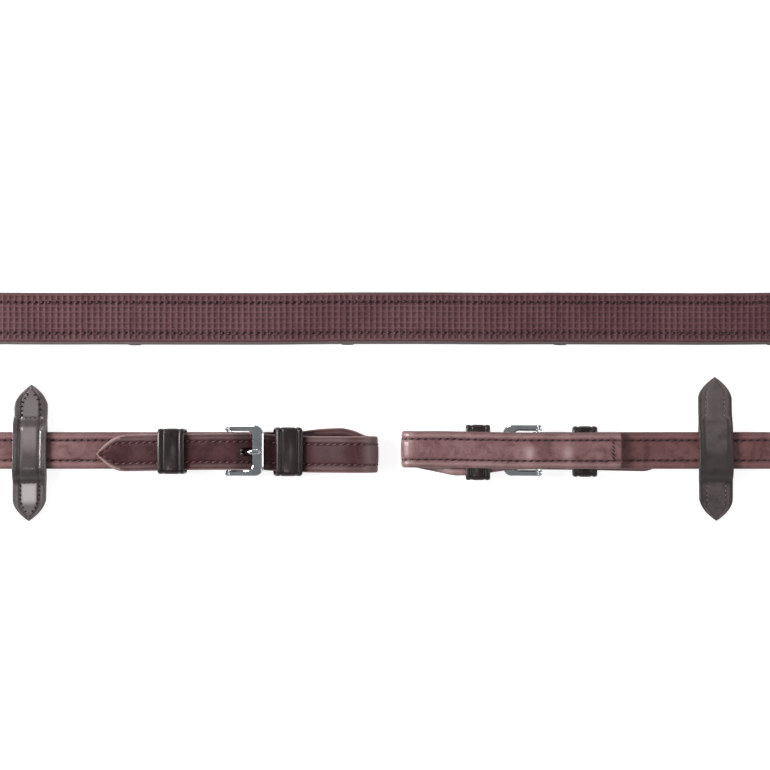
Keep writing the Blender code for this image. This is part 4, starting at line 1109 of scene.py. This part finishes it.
def bit_billet(side, thread):
    """The strap sewn under the rein, round the bit loop and back through the buckle."""
    place = bit_place(side)
    end = BIT_END[side]
    half = BILLET_THICK / 2
    bend_x = end["loop"] + half
    top = half + 2 * LOOP_RADIUS
    keeper_half = KEEPER_WIDTH[side] / 2
    keeper_in = end["loop_keeper"] - keeper_half - 0.004
    keeper_out = end["loop_keeper"] + keeper_half
    over = end["tip_keeper"]
    rear_end = end["rear_end"]
    tip_z, keeper_z, bar_z, lead_z = 0.0074, 0.0094, 0.0109, 0.0057
    corners = [(BILLET_TIP, tip_z, 0), (0.0440, tip_z, 0.030),
               (over + keeper_half + 0.003, keeper_z, 0.030), (0.0150, keeper_z, 0.030),
               (0.0030, bar_z, 0.012), (-0.0022, bar_z, 0.0052), (-0.0098, lead_z, 0.004),
               (keeper_out, lead_z, 0.020), (keeper_in, lead_z, 0.012),
               (bend_x + 0.012, top, 0.012), (bend_x, top, LOOP_RADIUS),
               (bend_x, half, LOOP_RADIUS), (rear_end, half, 0)]

    def is_rear(xz, along):
        """Whether a place lies on the run under the rein, past the loop's bend."""
        return (along > 0.06) & (xz[:, 1] < half + LEVEL)

    def y_of(xz, along):
        front_shift, rear_shift = [ramp(xz[:, 0], steps) for steps in BILLET_SHIFT[side]]
        shift = np.where(is_rear(xz, along), rear_shift, front_shift)
        return np.convolve(np.pad(shift, 4, mode="edge"), np.ones(9) / 9, "valid")

    local, xz = local_line(filleted(corners), place, y_of, -1, SPACING)
    d = local.d
    rear = is_rear(xz, d)
    width = billet_half(d)
    thin = np.where(rear, ramp(xz[:, 0], [(rear_end - 0.008, 0.0), (rear_end, 0.0010)]), 0.0)
    square = np.where(rear, ramp(xz[:, 0], [(rear_end - 0.0024, 0.0), (rear_end, 1.0)]), 0.0)
    width = width - 0.0016 * (1 - np.sqrt(np.maximum(0, 1 - square ** 2)))
    thick = BILLET_THICK - thin
    base = local.p + local.n * (half - thick)[:, None]
    if side == "right":
        swell = 0.00045 * bump(xz[:, 0], -0.0015, 0.004) + 0.00045 * bump(xz[:, 0], 0.0148, 0.004)
        swell -= 0.00030 * bump(xz[:, 0], 0.0050, 0.0035)
        thick = thick + np.where(rear, swell, 0.0)
        width = width - np.where(rear, 0.0004 * bump(xz[:, 0], 0.0060, 0.006), 0.0)
    wrinkles = np.sin(xz[:, 0] * 2 * math.pi / 0.0017) * bump(xz[:, 0], bend_x + 0.002, 0.003)
    thick = thick + 0.00003 * wrinkles
    strap = Strap(d, base, local.s, local.n, thick, width)
    row = row_within(width, BILLET_ROW, BILLET_MARGIN)
    relief = 0.0005 if side == "left" else 0.0009
    # Crowns of the right swells, where painted highlights go.
    crowns = [float(np.interp(x, xz[rear, 0], d[rear])) for x in (-0.0039, 0.0126)]

    # Just past the top of the bend, where a painted highlight goes.
    brow = d[xz[:, 1] > top - LEVEL].max() + 0.0032
    # Places beside the keepers' edges that get a painted shadow.
    reach = keeper_half + 0.0006
    over_run = d < brow
    keeper_shadows = [float(np.interp(-x, -xz[over_run, 0], d[over_run]))
            for x in (over - reach, end["loop_keeper"] + reach, end["loop_keeper"] - reach)]

    def sheen_and_shade(along, across):
        """Painted highlights on the swells on the right; on the left a painted highlight on the
        bend and painted shadows beside the keepers.
        """
        if side == "left":
            painted_shadow = sum(bump(along, shadow_at, 0.0012) for shadow_at in keeper_shadows)
            return 2.4 * bump(along, brow, 0.0026) - 1.6 * painted_shadow
        return 2.0 * sum(bump(along, crown, 0.0022) * bump(across, -0.0012, 0.0028)
                         for crown in crowns)

    material, lumps, raw_tip = {"left": ("billet", 0.00006, 0.0125),
                                "right": ("strap", 0.00014, 0.0)}[side]
    obj = strap_piece(f"billet_{side}", strap, MAT[material], row, (0.00035, relief),
                      (0.0, 0.0002), lumps, 3, dark_end=True, raw_tip=raw_tip, light_and_shade=sheen_and_shade)
    cut_hole(obj, side, place)
    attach(obj, "reins")
    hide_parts(f"bit_billet_{side}")
    sewn = (d > 0.0022) & (d < d[-1] - 0.0020)
    thread.pair(strap, row, thick - 0.00022 - 0.42 * relief, [sewn], strap.normal, STITCH_PITCH,
                STITCH_LENGTH, 0.95)
    last = len(d) - int(0.0048 / SPACING)
    thread.rung(strap.base[last], strap.side[last], strap.normal[last] * (thick[last] - 0.00016),
                strap.normal[last], np.linspace(-0.0040, 0.0040, 12), 0.0016, 0.0019, 0.9, 0.8)


# ---- loops of leather
KEEPER_PROFILE = [(0.0, 0.42), (0.14, 0.74), (0.45, 1.00), (0.95, 1.15), (1.45, 1.19),
                  (1.75, 1.13), (2.05, 1.00), (2.32, 0.88), (2.50, 0.88), (2.80, 1.00),
                  (3.10, 1.12), (3.45, 1.18)]


def band_path(low, high, low_z, high_z, arc_steps, spacing):
    """Places (a, z) and outward directions round a band whose corner centres lie at these."""
    spots = [(high, high_z), (low, high_z), (low, low_z), (high, low_z)]
    path = []
    for i, (a, z) in enumerate(spots):
        for k in range(arc_steps + 1):
            angle = math.radians(90 * i + 90 * k / arc_steps)
            path.append((a, z, math.cos(angle), math.sin(angle)))
        next_a, next_z = spots[(i + 1) % 4]
        count = max(2, round(math.hypot(next_a - a, next_z - z) / spacing))
        for k in range(1, count):
            share = k / count
            path.append((a + (next_a - a) * share, z + (next_z - z) * share, *path[-1][2:]))
    return path


def loop_of_leather(name, node, x, width, y_range, z_range, place, body, skew=0.0):
    """Band round a strap, creased along both edges; skew leans its top along the strap."""
    thick = KEEPER_THICK
    inner = KEEPER_CORNER - thick
    low_y, high_y = y_range
    low_z, high_z = z_range
    path = band_path(low_y + inner, high_y - inner, low_z + inner, high_z - inner, 8, 0.0012)
    half = width / 2
    xs = [-half + inset * 0.001 for inset, _ in KEEPER_PROFILE]
    ts = [t * thick / 1.2 for _, t in KEEPER_PROFILE]
    xs = xs + [0.0] + [-v for v in xs[::-1]]
    ts = ts + [thick] + ts[::-1]
    rear = [half - 0.0003, half - 0.0015, 0, -half + 0.0015, -half + 0.0003]
    across = xs + rear
    out = ts + [0.0] * len(rear)
    tone = np.array([1.0, 0.7, 0.2] + [0] * (len(ts) - 6) + [0.2, 0.7, 1.0] + [1] * len(rear))
    groove = np.zeros(len(across))
    # Painted shade in the creases along both edges.
    creased = np.array([6, 7, 8, 9])
    groove[np.concatenate([creased, len(ts) - 1 - creased])] = 0.6
    crown_span = (high_y - low_y) / 2
    points = []
    for cy, cz, ny, nz in path:
        crown = 0.00035 * max(0.0, nz) * (1 - ((cy - (low_y + high_y) / 2) / crown_span) ** 2)
        for a, t in zip(across, out):
            reach = inner + t + (crown if t > 0 else 0.0)
            y, z = cy + ny * reach, cz + nz * reach
            lean = skew * (z - (low_z + high_z) / 2)
            points.append(place(x + a + lean, y, z))
    obj = make_mesh(name, points, grid_faces(len(path), len(across), True), MAT["keeper"],
                    edge=np.tile(tone, len(path)), groove=np.tile(groove, len(path)))
    turn_outward(obj.data)
    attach(obj, body)
    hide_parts(node)


# ---- buckles
def outline_of_frame():
    """Plan of a frame: rail and corners rounded, arms open behind the bar."""
    inner_x = FRAME_RAIL - FRAME_FRONT
    arm_y = FRAME_HALF_Y - FRAME_ARM - 0.0002
    corners = [(-0.008, -FRAME_HALF_Y, 0), (FRAME_BACK, -FRAME_HALF_Y, 0.0010),
               (FRAME_BACK, -arm_y, 0.0008), (inner_x, -arm_y, 0.0022),
               (inner_x, arm_y, 0.0022), (FRAME_BACK, arm_y, 0.0008),
               (FRAME_BACK, FRAME_HALF_Y, 0.0010), (-FRAME_FRONT, FRAME_HALF_Y, 0.0042),
               (-FRAME_FRONT, -FRAME_HALF_Y, 0.0042), (-0.008, -FRAME_HALF_Y, 0)]
    return filleted(corners, math.radians(9))[:-1]


def buckle(name, place, tilt, frame_body, prong_body):
    """Polished frame with rounded edges and its bar, and the prong that hangs on it."""
    turned = place @ Matrix.Rotation(tilt, 4, "Y")
    curve = bpy.data.curves.new(f"{name}_plate", "CURVE")
    curve.dimensions = "2D"
    curve.fill_mode = "BOTH"
    curve.extrude = FRAME_THICK / 2 - FRAME_ROUND
    curve.bevel_depth = FRAME_ROUND
    curve.bevel_resolution = 3
    curve.offset = -FRAME_ROUND
    outline = outline_of_frame()
    spline = curve.splines.new("POLY")
    spline.points.add(len(outline) - 1)
    for point, at in zip(spline.points, outline):
        point.co = (at.x, at.y, 0, 1)
    spline.use_cyclic_u = True
    plate = placed(f"{name}_plate", curve)
    graph = bpy.context.evaluated_depsgraph_get()
    mesh = bpy.data.meshes.new_from_object(plate.evaluated_get(graph))
    bpy.data.objects.remove(plate)
    with edited(mesh) as bm:
        bmesh.ops.remove_doubles(bm, verts=bm.verts[:], dist=1e-6)
        bmesh.ops.create_cone(bm, cap_ends=True, segments=ROUND_SIDES, radius1=BAR_RADIUS,
                              radius2=BAR_RADIUS, depth=2 * FRAME_HALF_Y - 0.0012,
                              matrix=Matrix.Rotation(math.pi / 2, 4, "X"))
        bmesh.ops.recalc_face_normals(bm, faces=bm.faces[:])
    mesh.shade_smooth()
    mesh.set_sharp_from_angle(angle=math.radians(40))
    mesh.materials.clear()
    mesh.materials.append(MAT["steel"])
    plate = placed(f"{name}_body", mesh)
    plate.modifiers.new("flat_faces", "WEIGHTED_NORMAL").keep_sharp = True
    plate.matrix_world = turned
    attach(plate, frame_body)
    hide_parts(f"{name}_frame")
    tongue(name, turned, prong_body)


def tongue(name, turned, body):
    """Prong: an eye round the bar, a shank that dips through the hole and a flattened tip."""
    rail_top = FRAME_THICK / 2 + GAP + PRONG_RADIUS
    reach = np.array([(-0.0017, 0.0006), (-0.0042, -0.0006), (-0.0064, -0.0006),
                      (-0.0082, 0.0008), (-0.0102, rail_top), (-0.0126, rail_top),
                      (-0.0150, rail_top - 0.0001)])
    along = lengths(reach)
    even = np.linspace(0, along[-1], 34)
    xz = hermite(even, along, reach)
    share = even / even[-1]
    size = PRONG_RADIUS * ramp(share, [(0, 1.0), (0.5, 1.0), (0.85, 0.95), (0.97, 0.80), (1, 0.5)])
    wide = size * ramp(share, [(0, 1.0), (0.55, 1.05), (0.8, 1.20), (1, 1.0)])
    slope = unit(np.gradient(xz, axis=0))
    angles = np.arange(PRONG_SIDES) * math.pi / (PRONG_SIDES / 2)
    points = np.zeros((len(even), PRONG_SIDES, 3))
    points[:, :, 0] = xz[:, :1] - slope[:, 1:] * size[:, None] * np.sin(angles)
    points[:, :, 1] = PRONG_Y + wide[:, None] * np.cos(angles)
    points[:, :, 2] = xz[:, 1:] + slope[:, :1] * size[:, None] * np.sin(angles)
    verts, faces = capped(points)
    count = len(verts)
    eye = []
    outer, inner = 0.0024, EYE_RADIUS
    section = [(inner, 0.0013), (inner + 0.0002, 0.0015), (outer - 0.0003, 0.0015),
               (outer, 0.0011), (outer, -0.0011), (outer - 0.0003, -0.0015),
               (inner + 0.0002, -0.0015), (inner, -0.0013)]
    for i in range(ROUND_SIDES):
        angle = 2 * math.pi * i / ROUND_SIDES
        for radius, y in section:
            eye.append((radius * math.cos(angle), PRONG_Y + y, radius * math.sin(angle)))
    ring = grid_faces(ROUND_SIDES, len(section), True)
    faces += [tuple(count + k for k in face) for face in ring]
    obj = make_mesh(f"{name}_tongue", np.concatenate([verts, eye]), faces, MAT["steel"])
    turn_outward(obj.data)
    obj.matrix_world = turned
    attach(obj, body)
    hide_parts(f"{name}_prong")


# ---- martingale stops
def stop_leather(side, layer, thread):
    """One pointed leather of a stop, creased along its edges where it bridges the rein."""
    low, high = STOP_REACH[side]
    length = low + high
    top = STOP_THICK + 0.0002
    crown = REIN_TOP[side] + GAP
    peak, foot = STOP_ARCH
    upper = layer == "upper"
    corners = [(-low, top, 0), (-foot, top, 0.006), (-peak, crown, 0.004), (peak, crown, 0.004),
               (foot, top, 0.006), (high, top, 0)] if upper else [(-low, 0, 0), (high, 0, 0)]
    middle_x = STOP_X[side]
    lean = {"left": (0.0000, -0.0012), "right": (-0.0003, 0.0005)}[side]

    def place(x, y, z):
        offset = lean[0] + (lean[1] - lean[0]) * (0.5 - x / length)
        return (middle_x - y + offset - (lean[0] + lean[1]) / 2, BIT_LINE_Y + x, z)

    local, xz = local_line(filleted(corners), place, None, 1, SPACING)
    y = xz[:, 0]
    to_tip = np.minimum(y + low, high - y)
    width = pointed(np.clip(to_tip, 0, 1), STOP_POINT, STOP_WIDTH / 2)
    width = width + 0.00012 * waves(y, 5 if upper else 9, 0.02)
    skive = ramp(np.abs(y), [(0.012, 0.0), (0.0297, 0.0007)]) if upper else np.zeros(len(y))
    thick = STOP_THICK - skive
    bridge = ramp(np.abs(y), [(0.0115, 1.0), (0.0145, 0.0)])
    row = row_within(width, ramp(bridge, [(0, STOP_ROW), (1, 0.0056)]), 0.0022)
    if upper:
        thick = thick - np.where(y < 0, ramp(-y, [(0.0135, 0.0), (0.0270, 0.0008)]), 0.0)
    strap = Strap(*local, thick, width)
    relief = 0.00045 if side == "left" else 0.00020
    front = (0.0002 * (1 - bridge), relief * (1 - bridge)) if upper else (0.0, 0.0)
    rear = (0.0, 0.0) if upper else (0.0, 0.0005)
    crease = CREASE_DEPTH * bridge if upper and side == "left" else None
    material = MAT["stop" if side == "left" and upper else "stop_rear"]

    def sheen_and_shade(along, across):
        """Lighter and darker tones down the upper leather: on the left the lighter ones a painted
        sheen, only between its stitches; on the right darker towards its edges too.
        """
        depth = np.interp(along, strap.d, -y)
        field = ramp(depth, STOP_SHEEN_AND_TONE[side])
        if side == "right":
            return field - ramp(np.abs(across), [(0.0044, 0.0), (0.0066, 2.0)])
        inside = ramp(np.abs(across), [(0.0030, 1), (0.0036, 0)])
        return field * np.where(field < 0, 1.0, inside)

    obj = strap_piece(f"stop_{side}_{'front' if upper else 'back'}", strap, material, row, front,
                      rear, 0.00006, 4, crease, light_and_shade=sheen_and_shade if upper else None)
    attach(obj, f"stop_{side}")
    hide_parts(f"stop_{layer}_{side}")
    if not upper and side == "left":
        return
    face = thick - 0.00030 if upper else np.full(len(thick), 0.0002)
    normals = strap.normal if upper else -strap.normal
    for end in (1, -1):
        depth = end * y
        line = (depth > STOP_CROSS) & (to_tip > 0.0030)
        offset = pointed(np.clip(to_tip - 0.0026, 0, 1), 0.0075, STOP_ROW)
        thread.pair(strap, offset, face, [line], normals, *STOP_STITCH,
                    1.7 if side == "left" else 0.7, 0.3)
        at = np.argmin(np.abs(y - end * STOP_CROSS))
        thread.rung(strap.base[at], strap.side[at], strap.normal[at] * face[at], normals[at],
                    np.linspace(-0.0030, 0.0030, 10), *STOP_STITCH,
                    0.9 if side == "left" else 0.6)


# ---- centre buckle
def centre_splice(route, side, start, thick, splice_thick, trim):
    """The stretch of a centre end that rises over the backing and thins out on it."""
    splice_end = GRIP_START[side] - SPLICE_INSET
    splice_start = splice_end - SPLICE
    lift = splice_start - 0.004
    d = stations(start, splice_end, 0.0008)
    low = ramp(d, [(lift, REAR), (splice_start, REAR + SPLICE_SEAT),
                   (splice_end, REAR + BACKING_THICK + GAP)])
    high = ramp(d, [(lift, REAR + thick), (splice_start, REAR + splice_thick),
                    (splice_end, SPLICE_FRONT)])
    return route_strap(route, d, low, high, strap_half(d, side) - trim)


def centre_strap(route, thread):
    """The right rein's end, turned round the centre buckle's bar."""
    slope = [(0.036, HAND_BASE, 0), (0.028, HAND_BASE, 0.012), (0.0225, 0.0032, 0.012),
             (0.009, 0.0032, 0.03)]
    local, xz = local_line(round_the_bar(slope, CENTRE_BAR_Z, 0.022)[::-1], centre_place)
    thick = np.minimum(CENTRE_THICK, ramp(xz[:, 0], BEND_SKIVE))
    under = xz[:, 1] < CENTRE_BAR_Z - EYE_RADIUS + LEVEL
    thick = np.where(under & (local.d < 0.03), 0.0013, thick)
    first = Strap(*local, thick, np.full(len(xz), REIN_WIDTH / 2))
    strap = join(first, centre_splice(route, "right", 0.038, CENTRE_THICK, CENTRE_THICK, 0.0))
    obj = strap_piece("centre_end_right", strap, MAT["rein"], STITCH_ROW, (0.0004, 0.0009),
                      lumps=0.00004, seed=3)
    cut_slot(obj, centre_place, CENTRE_BAR_Z)
    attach(obj, "reins")
    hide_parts("centre_strap")
    stitch_strap(thread, strap, strap.d[0] + 0.040, strap.d[-1] - 0.003, drop=0.0007)


def centre_billet(route, thread):
    """The left rein's end, through the centre buckle to its tip."""
    half = BILLET_THICK / 2
    tip_z, keeper_z, bar_z, lead_z = 0.0063, 0.0077, 0.0084, 0.0017
    corners = [(0.0435, tip_z, 0), (0.0285, tip_z, 0.012), (0.0230, keeper_z, 0.012),
               (0.0080, keeper_z, 0.030), (0.0025, bar_z, 0.010), (-0.0020, bar_z, 0.0052),
               (-0.0105, lead_z, 0.006), (-0.0150, lead_z, 0)]
    local, xz = local_line(filleted(corners), centre_place, None, -1, SPACING)
    full = np.full(len(xz), BILLET_THICK)
    first = Strap(local.d, local.p - local.n * half, local.s, local.n, full, billet_half(local.d))
    trim = (REIN_WIDTH - BILLET_WIDTH) / 2
    rest = centre_splice(route, "left", 0.0175, BILLET_THICK, BILLET_THICK + 0.0006, trim)
    strap = join(first, rest)
    row = row_within(strap.half, BILLET_ROW, BILLET_MARGIN)
    row = np.where(strap.half > 0.0085, STITCH_ROW, row)
    obj = strap_piece("centre_end_left", strap, MAT["billet"], row, (0.0003, 0.0008),
                      lumps=0.00004, seed=6)
    cut_hole(obj, "centre", centre_place)
    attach(obj, "reins")
    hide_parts("centre_billet")
    spans = [(strap.d > 0.0022) & (strap.d < 0.046),
             (strap.d > 0.062) & (strap.d < strap.d[-1] - 0.003)]
    thread.pair(strap, row, strap.thick - 0.00060, spans, strap.normal, STITCH_PITCH,
                STITCH_LENGTH, 0.9)


# ---- coil ties
def coil_tie(side, centre, turns, radius):
    """Woven band round the turns on one side of a coil."""
    mirror = -1 if side == "left" else 1
    angle = turns + math.pi / 2
    outward = Vector((mirror * math.sin(angle), math.cos(angle), 0))
    corner = 0.0010
    inner = COIL_INNER - 0.0065 + corner
    outer = radius + 0.0045 - corner
    height = COIL_BASE + HAND_WIDTH + 0.0010 - corner
    path = band_path(inner, outer, TIE_THICK + corner, height, 6, 0.0010)
    axis = outward.cross(Z)
    middle = Vector((mirror * centre.x, centre.y, 0))
    ribs = np.linspace(-TIE_WIDTH / 2, TIE_WIDTH / 2, 21)
    out = TIE_THICK * (0.86 + 0.14 * np.cos(np.arange(21) * math.pi))
    out[[0, -1]] = TIE_THICK * 0.5
    across = np.concatenate([ribs, [TIE_WIDTH / 2 - 0.0002, -TIE_WIDTH / 2 + 0.0002]])
    depth = np.concatenate([out, [0.0, 0.0]])
    points = []
    for n, (cx, cz, nx, nz) in enumerate(path):
        weave = 0.00005 * (-1) ** n
        for k, (a, t) in enumerate(zip(across, depth)):
            reach = corner + max(0.0, t - (weave if 0 < k < 20 else 0.0) - 0.00005)
            place = middle + outward * (cx + nx * reach) + Z * (cz + nz * reach) + axis * a
            points.append(tuple(place))
    obj = make_mesh(f"tie_{side}", points, grid_faces(len(path), len(across), True), MAT["tie"])
    turn_outward(obj.data)
    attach(obj, "reins")
    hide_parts(f"coil_tie_{side}")


# ---- studio
STUDIO_MIDDLE = (0.015, -0.03, 0)
# Name, place from that middle, size, watts, makes highlights, lights surfaces.
LIGHTS = [("window", (-0.98, 0.12, 0.80), (0.30, 0.50), 19.0, False, True),
          ("fill", (0.75, -0.10, 1.05), (0.50, 0.80), 0.5, False, True),
          ("back_fill", (0.05, 0.95, 0.85), (1.2, 0.30), 1.4, False, True),
          ("gloss", (-0.75, 0.75, 0.75), (0.30, 0.30), 8.0, True, False),
          ("gloss_low", (-1.15, 0.12, 0.45), (0.25, 0.80), 26.0, True, False),
          ("rim", (1.10, 0.05, 0.60), (0.25, 0.80), 3.0, True, True)]
# Highlights only: name, place, what it faces, size, watts.
SHEENS = [("sheen_left", (-0.268, -0.430, 1.57), (-0.137, -0.08, 0), (0.22, 0.22), 1.6),
          ("sheen_right", (-0.020, -0.080, 1.57), (0.08, -0.057, 0), (0.10, 0.12), 0.35)]


def area_light(name, location, target, size, power, shine, glow):
    """Soft box; without shine it makes no highlights, without glow it makes only highlights."""
    data = bpy.data.lights.new(name, "AREA")
    data.shape = "RECTANGLE"
    data.size, data.size_y = size
    data.energy = power
    light = placed(name, data)
    light.visible_glossy = shine
    light.visible_diffuse = glow
    light.location = location
    direction = Vector(target) - Vector(location)
    light.rotation_euler = direction.to_track_quat("-Z", "Y").to_euler()


def studio():
    mesh = bpy.data.meshes.new("floor")
    mesh.from_pydata([(-4, -4, -0.0002), (4, -4, -0.0002), (4, 4, -0.0002), (-4, 4, -0.0002)], [],
                     [(0, 1, 2, 3)])
    floor = placed("floor", mesh)
    g = Graph("floor_white", 0.9, specular=0.1)
    g.shader.inputs["Base Color"].default_value = (0.55, 0.55, 0.55, 1)
    g.shader.inputs["Emission Color"].default_value = (1, 1, 1, 1)
    g.shader.inputs["Emission Strength"].default_value = 0.80
    mesh.materials.append(g.material)
    world = bpy.data.worlds.new("studio")
    world.use_nodes = True
    tree = world.node_tree
    height = tree.nodes.new("ShaderNodeSeparateXYZ")
    tree.links.new(tree.nodes.new("ShaderNodeTexCoord").outputs["Generated"], height.inputs[0])
    fade = tree.nodes.new("ShaderNodeMapRange")
    for key, value in (("From Min", 0.2), ("From Max", 1.0), ("To Min", 0.44), ("To Max", 0.20)):
        fade.inputs[key].default_value = value
    tree.links.new(height.outputs["Z"], fade.inputs["Value"])
    background = tree.nodes["Background"]
    background.inputs[0].default_value = (0.95, 0.97, 1.0, 1)
    tree.links.new(fade.outputs[0], background.inputs[1])
    bpy.context.scene.world = world
    target = Vector(STUDIO_MIDDLE)
    for name, offset, size, power, shine, glow in LIGHTS:
        area_light(name, target + Vector(offset), target, size, power, shine, glow)
    for name, location, aim, size, power in SHEENS:
        area_light(name, location, aim, size, power, True, False)
    bpy.context.scene.view_settings.view_transform = "Standard"
    bpy.context.scene.view_settings.look = "None"


# ---- the whole object
def build():
    look_from_above()
    for side in ("left", "right"):
        route, centre, turns, radius = rein_route(side)
        grip_thread, strap_thread, billet_thread, stop_thread = [Thread() for _ in range(4)]
        hand_backing(side, route)
        hand_grip(side, route, grip_thread)
        hand_stop_bars(side, route)
        bit_strap(side, route, strap_thread)
        bit_billet(side, billet_thread)
        place = bit_place(side)
        end = BIT_END[side]
        for kind, inside, skew in (("loop", LOOP_KEEPER_INSIDE, -0.30),
                                   ("tip", TIP_KEEPER_INSIDE, 0.12)):
            loop_of_leather(f"keeper_{kind}_{side}", f"{kind}_keeper_{side}",
                            end[f"{kind}_keeper"], KEEPER_WIDTH[side], *inside[side], place,
                            "reins", skew if side == "left" else 0.0)
        for layer in ("upper", "lower"):
            stop_leather(side, layer, stop_thread)
        coil_tie(side, centre, turns, radius)
        if side == "right":
            centre_strap(route, strap_thread)
        else:
            centre_billet(route, billet_thread)
        billet_look, stop_look = {"left": ("billet_thread", "thread"),
                                  "right": ("thread", "pale_thread")}[side]
        for thread, kind, look, body in ((grip_thread, "grip", "grip_thread", "reins"),
                                         (strap_thread, "rein", "thread", "reins"),
                                         (billet_thread, "billet", billet_look, "reins"),
                                         (stop_thread, "stop", stop_look, f"stop_{side}")):
            thread.piece(f"{kind}_stitches_{side}", MAT[look], body)
    left = (Matrix.Translation((BIT_BAR_X["left"], BIT_LINE_Y, BIT_BAR_Z))
            @ Matrix.Rotation(math.pi, 4, "Z"))
    right = (Matrix.Translation((BIT_BAR_X["right"], BIT_LINE_Y, BUNDLE_SAG[0][1] - BIT_BAR_Z))
             @ Matrix.Rotation(math.pi, 4, "X"))
    centre = Matrix.Translation((CENTRE_BAR_X, 0, CENTRE_BAR_Z))
    buckle("bit_buckle_left", left, BIT_TILT, "bit_frame_left", "bit_prong_left")
    buckle("bit_buckle_right", right, BIT_TILT, "bit_frame_right", "bit_prong_right")
    buckle("centre_buckle", centre, CENTRE_TILT, "centre_frame", "centre_prong")
    loop_of_leather("keeper_centre", "centre_keeper", *CENTRE_KEEPER, centre_place, "reins")
    loop_of_leather("runner_centre", "centre_runner", *CENTRE_RUNNER, centre_place, "runner")
    studio()


build()
